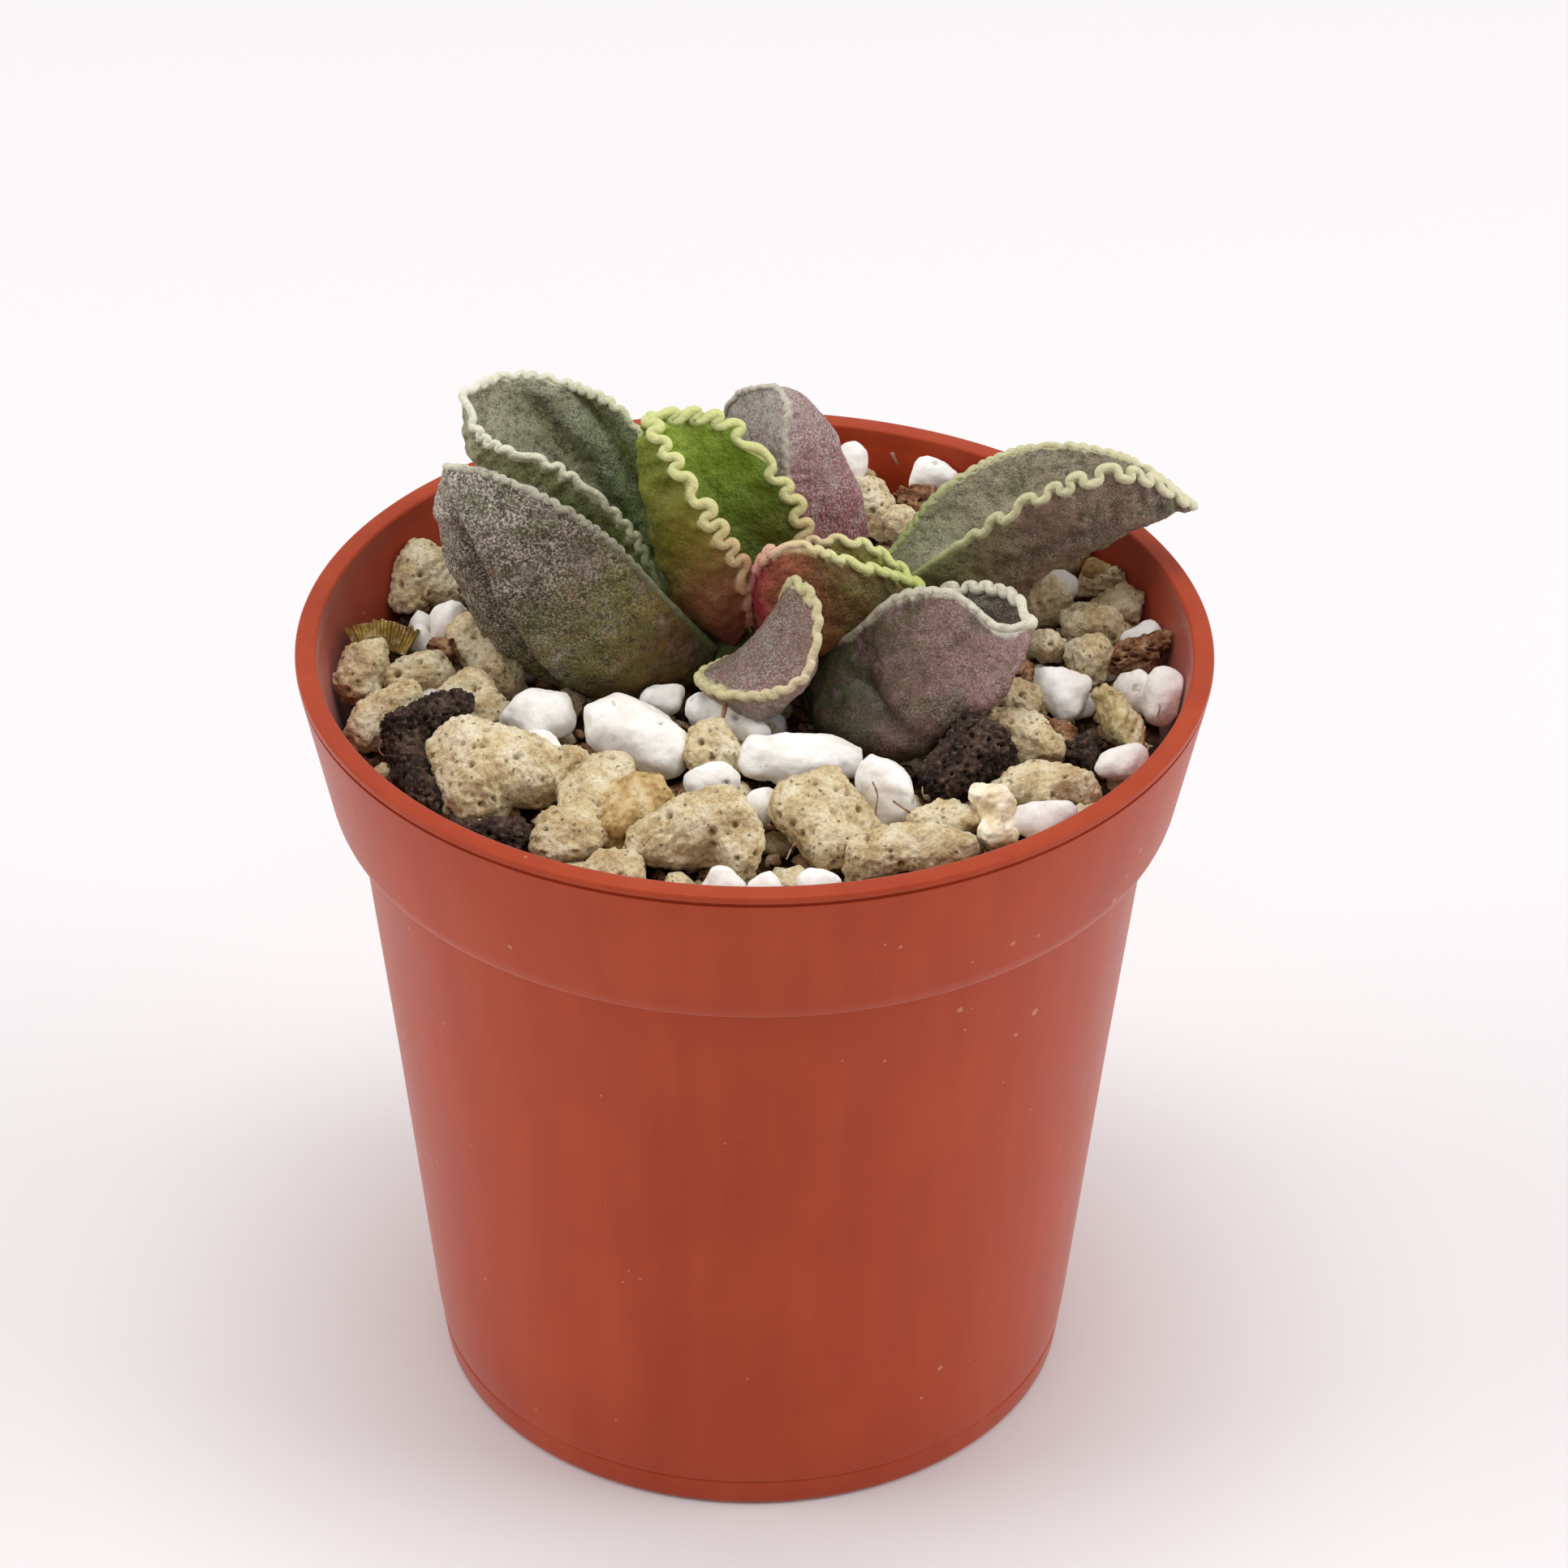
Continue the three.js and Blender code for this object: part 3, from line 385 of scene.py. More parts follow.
# %% Leaf curves
# Curves in millimetres. thick is the blade's thickness at the keel, fill the most of the fold that it may
# take up there; round is how blunt the fold is, bulge how far its sides bow out.
# crimp gives, for the near and the far margin, the wave's height, length and overhang, where along the
# margin it starts, and how many degrees it leans from the blade's normal towards the blade's own plane.
# creases are furrows: side -1 (near) or 1 (far), where across and along the blade each starts and ends,
# its width as a share of the half blade, and its depth (negative for a ridge).
LEAVES = {
    "leaf_centre": {
        "near": [(-0.3, 3, 50.1), (-0.8, 2.3, 54.1), (-2.5, 2.8, 57), (-4.4, 4.5, 59.4), (-6.1, 6.8, 61.1), (-6.6, 9, 61.2)],
        "keel": [(-1.3, 4.5, 47.5), (-4.1, 5.5, 48.9), (-5.4, 7, 52.2), (-6.4, 8, 56.1), (-6.8, 8.6, 59.3), (-6.6, 9, 61.2)],
        "far": [(0.4, 6.5, 49.2), (2.6, 8, 51.6), (2.8, 9, 54.2), (0.9, 10, 56.9), (-2, 10.8, 59.7), (-6.6, 9, 61.2)],
        "thick": 1.9,
        "fill": 0.6,
        "round": 0.45,
        "bulge": 0.12,
        "crimp": [(0.38, 1.55, 0.1, 0.04, -50), (0.44, 1.75, 0.08, 0.08, 65)],
        "bead": 0.32,
        "creases": [],
    },
    "leaf_centre_right": {
        "near": [(-0.4, 3.6, 49.7), (0, 2.3, 54.5), (2.1, 1.7, 56.5), (5.3, 2, 55.2), (8, 3.5, 53.4), (10.1, 5, 51.6)],
        "keel": [(0.6, 4.4, 48), (1.8, 3.2, 47.5), (4.7, 2.4, 48), (7.6, 3, 49.4), (9.3, 4.2, 50.6), (10.1, 5, 51.6)],
        "far": [(0.6, 5.8, 49.6), (1.2, 6.5, 52.4), (3.9, 7, 53.6), (6.6, 7, 53.4), (8.6, 6.3, 52.4), (10.1, 5, 51.6)],
        "thick": 1.9,
        "fill": 0.6,
        "round": 0.4,
        "bulge": 0.1,
        "crimp": [(0.2, 1.25, 0.07, 0.06, -50), (0.26, 1.4, 0.08, 0.1, 55)],
        "bead": 0.29,
        "creases": [],
    },
    "leaf_small_front": {
        "near": [(-0.8, 3, 47.6), (-2.2, 0.5, 48.7), (-3.5, -2, 49.2), (-2, -3.8, 49.3), (0.8, -4.6, 49.8), (3, -4.6, 51)],
        "keel": [(0, 3.2, 46.6), (0.7, 1, 46.6), (0.8, -1.5, 47), (1.6, -3.2, 48.1), (2.5, -4.2, 49.6), (3, -4.6, 51)],
        "far": [(0.7, 3, 48.9), (1.8, 1.5, 53.2), (2.6, 0, 55.1), (3.8, -1.8, 54.3), (3.7, -3.6, 52.5), (3, -4.6, 51)],
        "thick": 6.0,
        "fill": 0.86,
        "round": 0.5,
        "bulge": 0.14,
        "crimp": [(0.14, 0.95, 0.04, 0.05, -50), (0.2, 1.1, 0.06, 0.05, 60)],
        "bead": 0.27,
        "creases": [],
    },
    "leaf_front_right": {
        "near": [(2, 3.5, 47.9), (5.6, 0.8, 50.6), (8.5, 0.5, 53.6), (11.6, 0, 54.2), (14.4, -1.5, 52.7), (16.6, -2, 53.3)],
        "keel": [(1.8, 4, 46.1), (4, -1, 45), (8.6, -4.2, 45), (12.4, -5, 48), (15.3, -4, 50.6), (16.6, -2, 53.3)],
        "far": [(2.2, 5, 47.2), (5.9, 4.5, 47.6), (9.3, 4.3, 50.8), (12.7, 3.5, 52.5), (15.3, 1.5, 53.4), (16.6, -2, 53.3)],
        "thick": 2.0,
        "fill": 0.6,
        "round": 0.5,
        "bulge": 0.16,
        "crimp": [(0.12, 1.0, 0.03, 0.3, -50), (0.22, 1.3, 0.07, 0.4, 65)],
        "bead": 0.31,
        "creases": [(-1, 0.78, 0.2, 0.12, 0.52, 0.1, 0.8), (-1, 0.5, 0.1, 0.02, 0.36, 0.14, -0.5)],
    },
    "leaf_left_front": {
        "near": [(-2.5, 3, 48.4), (-5.3, 1, 53), (-8.4, 0.3, 57.3), (-12, 0.6, 60), (-15.9, 2, 61.1), (-18.6, 3.5, 60.7)],
        "keel": [(-2.5, 4, 45), (-9.6, 3, 44.4), (-15, 3, 47.6), (-18.1, 3.2, 53.2), (-19.2, 3.3, 57.7), (-18.6, 3.5, 60.7)],
        "far": [(-2.5, 5, 46.7), (-8, 6, 49.8), (-11.4, 6.5, 52.7), (-14.8, 6, 55.8), (-17.3, 5, 58.9), (-18.6, 3.5, 60.7)],
        "thick": 2.4,
        "fill": 0.7,
        "round": 0.45,
        "bulge": 0.12,
        "crimp": [(0.09, 0.8, 0.01, 0.3, -50), (0.1, 0.9, 0.01, 0.2, 50)],
        "bead": 0.25,
        "creases": [(-1, 0.03, 0.2, 0.36, 0.78, 0.07, 1.2), (-1, 0.16, 0.22, 0.5, 0.76, 0.1, -0.35)],
    },
    "leaf_left_back": {
        "near": [(-2, 5.5, 47.8), (-5.7, 6, 50.8), (-7.8, 6.5, 54.6), (-11.8, 7, 58.3), (-16.3, 8, 59.7), (-17.9, 10.5, 61.7)],
        "keel": [(-2, 6.5, 45.2), (-7.1, 8.5, 46.2), (-10.8, 9.5, 48.9), (-15, 10, 53.5), (-17.3, 10.3, 58), (-17.9, 10.5, 61.7)],
        "far": [(-1.5, 7.5, 47.2), (-4.8, 11, 52.7), (-7.6, 13.5, 58.1), (-11.1, 14.3, 60.2), (-15, 13.5, 61.4), (-17.9, 10.5, 61.7)],
        "thick": 3.4,
        "fill": 0.72,
        "round": 0.45,
        "bulge": 0.12,
        "crimp": [(0.14, 1.25, 0.04, 0.1, -50), (0.12, 0.95, 0.02, 0.2, 65)],
        "bead": 0.25,
        "creases": [(1, 0.55, 0.2, 1.0, 0.66, 0.035, -1.1), (1, 0.42, 0.25, 0.88, 0.8, 0.12, 0.8)],
    },
    "leaf_right": {
        "near": [(2, 5.5, 48.6), (7.9, 7.8, 49.2), (12.5, 7, 53.4), (17.5, 6, 57.6), (22.4, 6.8, 58.6), (26.9, 9, 54.9)],
        "keel": [(2, 6.2, 46.6), (7.9, 8.5, 47.6), (12.9, 9.3, 48.3), (18.3, 9.5, 50.5), (23.2, 9.3, 53.3), (26.9, 9, 54.9)],
        "far": [(2, 7.5, 47.6), (7.7, 11.5, 49.6), (11.6, 14, 53.4), (17.1, 15, 55.7), (22.8, 13, 56), (26.9, 9, 54.9)],
        "thick": 3.0,
        "fill": 0.75,
        "round": 0.4,
        "bulge": 0.1,
        "crimp": [(0.32, 1.8, 0.15, 0.4, -55), (0.09, 0.8, 0.01, 0.2, 70)],
        "bead": 0.27,
        "creases": [(-1, 0.57, 0.4, 0.46, 0.8, 0.08, 0.4)],
    },
    "leaf_back": {
        "near": [(1, 7, 48), (2.6, 10, 51), (2, 10.5, 54.8), (1.8, 11, 57.9), (1.9, 12.5, 59.9), (1.1, 14.5, 60.2)],
        "keel": [(1.4, 7.5, 46.2), (6.2, 14, 48.1), (6.0, 15.5, 51.9), (4.4, 16, 55.9), (2.6, 15.5, 59), (1.1, 14.5, 60.2)],
        "far": [(0.4, 7.5, 47), (-0.4, 14.5, 48.3), (-2, 16.5, 51.2), (-2.5, 17, 55), (-1.4, 16.5, 58.3), (1.1, 14.5, 60.2)],
        "thick": 8.0,
        "fill": 0.95,
        "round": 0.45,
        "bulge": 0.12,
        "lumps": 0.5,
        "crimp": [(0.06, 0.9, 0.01, 0.3, -50), (0.08, 0.9, 0.01, 0.3, 50)],
        "bead": 0.21,
        "creases": [],
    },
}
MARGIN_THICKNESS = 0.45
MARGIN_PULL = 0.38
TIP_THINNING = 0.4
LAST_RING = 0.985
STATION_SPACING = 0.16
HALF_COLUMNS = 30
CRIMP_DECAY = 1.5
LUMP_HEIGHT = 0.36
LUMP_SIZE = 2.3


def curve_through(points, shares):
    """Points on a smooth curve through the given ones, at shares from 0 to 1 of its spans."""
    points = np.array(points, float)
    ends = np.vstack([2 * points[0] - points[1], points, 2 * points[-1] - points[-2]])
    x = np.clip(shares, 0, 1) * (len(points) - 1)
    i = np.minimum(x.astype(int), len(points) - 2)
    f = (x - i)[:, None]
    p0, p1, p2, p3 = ends[i], ends[i + 1], ends[i + 2], ends[i + 3]
    bend = 2 * p0 - 5 * p1 + 4 * p2 - p3
    twist = -p0 + 3 * p1 - 3 * p2 + p3
    return 0.5 * (2 * p1 + (p2 - p0) * f + bend * f**2 + twist * f**3)


def unit(vectors):
    return vectors / (np.linalg.norm(vectors, axis=-1, keepdims=True) + 1e-9)


def half_bow(keel, margin, opposite, leaf, t):
    """Half of the blade's outer face, keel to margin: one row of points for each station."""
    chord = margin - keel
    across = margin - opposite
    reach = np.linalg.norm(chord, axis=1, keepdims=True)
    along_chord = unit(chord)
    outward = unit(across - (across * along_chord).sum(1, keepdims=True) * along_chord)
    first = keel + unit(across) * leaf["round"] * reach
    second = margin - MARGIN_PULL * chord + outward * leaf["bulge"] * reach
    t = t[None, :, None]
    k, a, b, m = keel[:, None], first[:, None], second[:, None], margin[:, None]
    return (1 - t) ** 3 * k + 3 * (1 - t) ** 2 * t * a + 3 * (1 - t) * t**2 * b + t**3 * m


def path_lengths(points):
    """Distance along rows of points, from the first one."""
    steps = np.linalg.norm(np.diff(points, axis=0), axis=1)
    return np.concatenate([[0], np.cumsum(steps)])


def smooth_noise(values, seed):
    """Slow random numbers from -1 to 1 at the given places along a line."""
    return np.array([noise.noise(Vector((v, seed * 7.3, 1.7))) * 1.6 for v in values])


# %% [markdown]
# ### Crimped margins
#
# The bead along a margin is a stiff, pale cord that grew faster than the blade behind it, so it had to
# buckle into waves: tight and S-shaped on the middle leaf, mere scallops on the others. In an S-shaped
# wave the cord runs back under its own crests, so besides swaying to and fro it is pushed along the
# margin twice in each wave. The blade takes part in the wave close to the bead and is calm a millimetre
# and a half further in. Both parts must move together, so the wave is worked out once, for each point of
# a margin, as a sway across the blade and a push along it, and its phase is stored with the point.


# %% Wave of a margin
def margin_wave(margin, normal, outward, crimp, seed):
    """Sway and push vectors and the wave's phase for each point of a margin, in millimetres."""
    height, length, overhang, start, lean = crimp
    along = path_lengths(margin)
    share = along / along[-1]
    uneven = along / length + 0.7 * smooth_noise(along / (2.2 * length), seed)
    fade = np.clip((share - start) / 0.12, 0, 1) * np.clip((1.03 - share) / 0.1, 0, 1)
    strength = fade * (1 + 0.45 * smooth_noise(along / (1.4 * length), seed + 31))
    tangent = unit(np.gradient(margin, axis=0))
    lean = math.radians(lean)
    sway = (math.cos(lean) * normal + math.sin(lean) * outward) * (height * strength)[:, None]
    push = tangent * (-overhang * strength)[:, None]
    return sway, push, 2 * math.pi * uneven


def waved(sway, push, phase):
    return sway * np.sin(phase)[:, None] + push * np.sin(2 * phase)[:, None]


# %% [markdown]
# ### The blade
#
# The blade's inner face lies a thickness behind its outer face, thick at the keel and thin at the
# margin. Low lumps and a few furrows keep it from looking moulded. Each point also stores what the
# leaf's skin will be painted by: how far along the leaf it is, how far from the margin, which side it
# is on, whether it is on the inner face, and how far into a crease it lies, where the skin gets painted
# shade.


# %% Loft a blade
def blade(name, leaf, seed):
    """The blade's points, faces and attributes, and its bead's path with the wave on it."""
    keel_length = path_lengths(curve_through(leaf["keel"], np.linspace(0, 1, 60)))[-1]
    far_length = path_lengths(curve_through(leaf["far"], np.linspace(0, 1, 60)))[-1]
    count = int(max(keel_length, far_length) / STATION_SPACING)
    shares = LAST_RING * np.linspace(0, 1, count)
    near, keel, far = (curve_through(leaf[key], shares) for key in ("near", "keel", "far"))
    t = 1 - (1 - np.linspace(0, 1, HALF_COLUMNS + 1)) ** 1.5
    halves = [half_bow(keel, near, far, leaf, t), half_bow(keel, far, near, leaf, t)]
    across = unit(far - near)
    taper = (1 - TIP_THINNING * shares**2)[:, None]
    mouth = np.linalg.norm(far - near, axis=1, keepdims=True)
    edge = np.minimum(MARGIN_THICKNESS * taper, 0.3 * mouth)
    lid_ends = [near + across * edge, far - across * edge]
    middle = (lid_ends[0] + lid_ends[1]) / 2
    outer, inner, distance, folds = [], [], [], []
    paths = []
    for k, (half, lid_end) in enumerate(zip(halves, lid_ends)):
        lid = middle[:, None] + (lid_end - middle)[:, None] * t[None, :, None]
        gap = np.linalg.norm(half - lid, axis=2)
        thick = taper * (leaf["thick"] + (MARGIN_THICKNESS - leaf["thick"]) * t[None, :])
        most = leaf["fill"] + (1 - leaf["fill"]) * t[None, :] ** 4
        share = np.minimum(most, thick / np.maximum(gap, 0.01))[:, :, None]
        back = half + (lid - half) * share
        normal = unit(np.cross(np.gradient(half, axis=0), np.gradient(half, axis=1)))
        if ((half - lid) * normal).sum() < 0:
            normal = -normal
        steps = np.linalg.norm(np.diff(half, axis=1), axis=2)
        to_margin = np.cumsum(steps[:, ::-1], axis=1)[:, ::-1]
        to_margin = np.concatenate([to_margin, np.zeros((count, 1))], axis=1)
        margin = (half[:, -1] + back[:, -1]) / 2
        outward = unit(half[:, -1] - half[:, -6])
        wave = margin_wave(margin, normal[:, -1], outward, leaf["crimp"][k], seed + 3 * k)
        weight = np.exp(-((to_margin / CRIMP_DECAY) ** 1.3))[:, :, None]
        ripple = waved(*wave)[:, None] * weight
        lumps = np.zeros((count, HALF_COLUMNS + 1))
        for i in range(count):
            for j in range(HALF_COLUMNS + 1):
                spot = Vector(half[i, j]) / LUMP_SIZE
                lumps[i, j] = noise.noise(spot) + 0.5 * noise.noise(2.3 * spot) + 0.25 * noise.noise(5.9 * spot)
        lumps *= leaf.get("lumps", 1) * LUMP_HEIGHT * np.clip(to_margin / 1.5, 0, 1)
        # Painted shade: the creases are marked here, and the skin is darkened along them.
        fold = np.zeros_like(lumps)
        for side, at, start, at_end, end, width, depth in leaf["creases"]:
            if side != (-1, 1)[k]:
                continue
            low, high = min(start, end), max(start, end)
            window = np.clip((shares - low) / 0.12, 0, 1) * np.clip((high - shares) / 0.12, 0, 1)
            drift = (shares - start) / (end - start)
            place = at + (at_end - at) * drift
            furrow = window[:, None] * np.exp(-(((t[None, :] - place[:, None]) / width) ** 2))
            lumps -= depth * furrow
            fold = np.maximum(fold, furrow * (depth > 0 or side > 0))
        outer.append(half + ripple + normal * lumps[:, :, None])
        inner.append(back + ripple + normal * lumps[:, :, None] * np.minimum(0.7, 2.4 * (1 - share)))
        distance.append(to_margin)
        folds.append(fold)
        paths.append((margin, *wave))
    sheet = np.concatenate([outer[0][:, ::-1], outer[1][:, 1:]], axis=1)
    lining = np.concatenate([inner[0][:, ::-1], inner[1][:, 1:]], axis=1)
    edges = np.concatenate([distance[0][:, ::-1], distance[1][:, 1:]], axis=1)
    shaded_creases = np.concatenate([folds[0][:, ::-1], folds[1][:, 1:]], axis=1)
    width = sheet.shape[1]
    side = np.tile(np.linspace(-1, 1, width), (count, 1))
    rings = np.concatenate([sheet, lining[:, ::-1]], axis=1)
    ring = rings.shape[1]
    tip = curve_through(leaf["keel"], np.array([1.0]))
    points = np.concatenate([rings.reshape(-1, 3), rings[0].mean(0)[None], tip])
    base_point, tip_point = len(points) - 2, len(points) - 1
    faces = []
    for j in range(ring):
        k = (j + 1) % ring
        faces.append((base_point, k, j))
        faces.append((tip_point, (count - 1) * ring + j, (count - 1) * ring + k))
        for i in range(count - 1):
            faces.append((i * ring + j, i * ring + k, (i + 1) * ring + k, (i + 1) * ring + j))
    values = {
        "along": np.tile(shares[:, None], (1, ring)),
        "edge": np.concatenate([edges, edges[:, ::-1]], axis=1),
        "side": np.concatenate([side, side[:, ::-1]], axis=1),
        "inner": np.concatenate([np.zeros_like(edges), np.ones_like(edges)], axis=1),
        "fold": np.concatenate([shaded_creases, shaded_creases[:, ::-1]], axis=1),
    }
    values = {key: np.append(value.ravel(), [value[0].mean(), value[-1].mean()]) for key, value in values.items()}
    bead = {
        "points": np.concatenate([paths[0][0], paths[1][0][::-1]]),
        "sway": np.concatenate([paths[0][1], paths[1][1][::-1]]),
        "push": np.concatenate([paths[0][2], paths[1][2][::-1]]),
        "phase": np.concatenate([paths[0][3], paths[1][3][::-1] - paths[1][3][-1] + paths[0][3][-1]]),
        "along": np.concatenate([shares, shares[::-1]]),
        "side": np.concatenate([-np.ones(count), np.ones(count)]),
    }
    return points, faces, values, bead


# %% [markdown]
# ### The bead
#
# The bead follows a path, so Geometry Nodes make it: the margin's polyline becomes a curve, is divided
# into short, even steps, takes its sway and push, and a small circle is swept along it. Its thickness
# wanders a little, as the real one's does.


# %% Bead tree
def bead_tree():
    tree = bpy.data.node_groups.new("Crimped bead", "GeometryNodeTree")
    sockets = tree.interface
    sockets.new_socket("Geometry", in_out="INPUT", socket_type="NodeSocketGeometry")
    for name in ("Bead radius", "Step", "Unevenness"):
        sockets.new_socket(name, in_out="INPUT", socket_type="NodeSocketFloat")
    sockets.new_socket("Sides", in_out="INPUT", socket_type="NodeSocketInt")
    sockets.new_socket("Material", in_out="INPUT", socket_type="NodeSocketMaterial")
    sockets.new_socket("Geometry", in_out="OUTPUT", socket_type="NodeSocketGeometry")
    given = add(tree, "NodeGroupInput").outputs
    curve = add(tree, "GeometryNodeMeshToCurve", {"Mesh": given["Geometry"]})
    even = add(
        tree, "GeometryNodeResampleCurve", {"Curve": curve.outputs[0], "Length": given["Step"]}, mode="LENGTH"
    )
    phase = add(tree, "GeometryNodeInputNamedAttribute", {"Name": "phase"}, data_type="FLOAT")
    double = add(tree, "ShaderNodeMath", {0: phase.outputs[0], 1: 2.0}, operation="MULTIPLY")
    moves = []
    for name, angle in (("sway", phase), ("push", double)):
        swing = add(tree, "ShaderNodeMath", {0: angle.outputs[0]}, operation="SINE")
        reach = add(tree, "GeometryNodeInputNamedAttribute", {"Name": name}, data_type="FLOAT_VECTOR")
        move = add(tree, "ShaderNodeVectorMath", {0: reach.outputs[0]}, operation="SCALE")
        tree.links.new(swing.outputs[0], move.inputs["Scale"])
        moves.append(move.outputs[0])
    both = add(tree, "ShaderNodeVectorMath", {0: moves[0], 1: moves[1]}, operation="ADD")
    crimped = add(tree, "GeometryNodeSetPosition", {"Geometry": even.outputs[0], "Offset": both.outputs[0]})
    where = add(tree, "GeometryNodeInputPosition")
    wander = add(tree, "ShaderNodeTexNoise", {"Vector": where.outputs[0], "Scale": 700.0, "Detail": 1.0})
    least = add(tree, "ShaderNodeMath", {0: 1.0, 1: given["Unevenness"]}, operation="SUBTRACT")
    most = add(tree, "ShaderNodeMath", {0: 1.0, 1: given["Unevenness"]}, operation="ADD")
    share = add(
        tree, "ShaderNodeMapRange", {0: wander.outputs[0], 1: 0.3, 2: 0.7, 3: least.outputs[0], 4: most.outputs[0]}
    )
    radius = add(tree, "ShaderNodeMath", {0: share.outputs[0], 1: given["Bead radius"]}, operation="MULTIPLY")
    thick = add(tree, "GeometryNodeSetCurveRadius", {"Curve": crimped.outputs[0], "Radius": radius.outputs[0]})
    circle = add(tree, "GeometryNodeCurvePrimitiveCircle", {"Resolution": given["Sides"], "Radius": 1.0})
    swept = add(
        tree,
        "GeometryNodeCurveToMesh",
        {"Curve": thick.outputs[0], "Profile Curve": circle.outputs[0], "Fill Caps": True},
    )
    if "Scale" in swept.inputs:
        tree.links.new(radius.outputs[0], swept.inputs["Scale"])
    smooth = add(tree, "GeometryNodeSetShadeSmooth", {"Geometry": swept.outputs[0]})
    real = add(tree, "GeometryNodeRealizeInstances", {"Geometry": smooth.outputs[0]})
    dressed = add(tree, "GeometryNodeSetMaterial", {"Geometry": real.outputs[0], "Material": given["Material"]})
    add(tree, "NodeGroupOutput", {"Geometry": dressed.outputs[0]})
    return tree


def run_tree(piece, tree, values):
    """Applies a tree to a piece with its named inputs, and leaves a plain mesh."""
    modifier = piece.modifiers.new(tree.name, "NODES")
    modifier.node_group = tree
    identifiers = {
        item.name: item.identifier
        for item in tree.interface.items_tree
        if item.item_type == "SOCKET" and item.in_out == "INPUT"
    }
    for name, value in values.items():
        modifier[identifiers[name]] = value
    return plain_copy(piece)


BEAD_TREE = bead_tree()
print("bead tree:", len(BEAD_TREE.nodes), "nodes")


# %% [markdown]
# ### Leaf skin
#
# Under a lens the skin is a mosaic: a green or purple ground, broad blotches of other pigments, and over
# it all a bloom of pale waxy specks about a fifth of a millimetre across, which is what turns the old
# leaves grey. The specks are too small for the mesh, so they are a fine noise in the colour and in the
# bump. The bead and a narrow band beside it hold no pigment and stay cream. The flesh is watery, so a
# little light scatters through it.


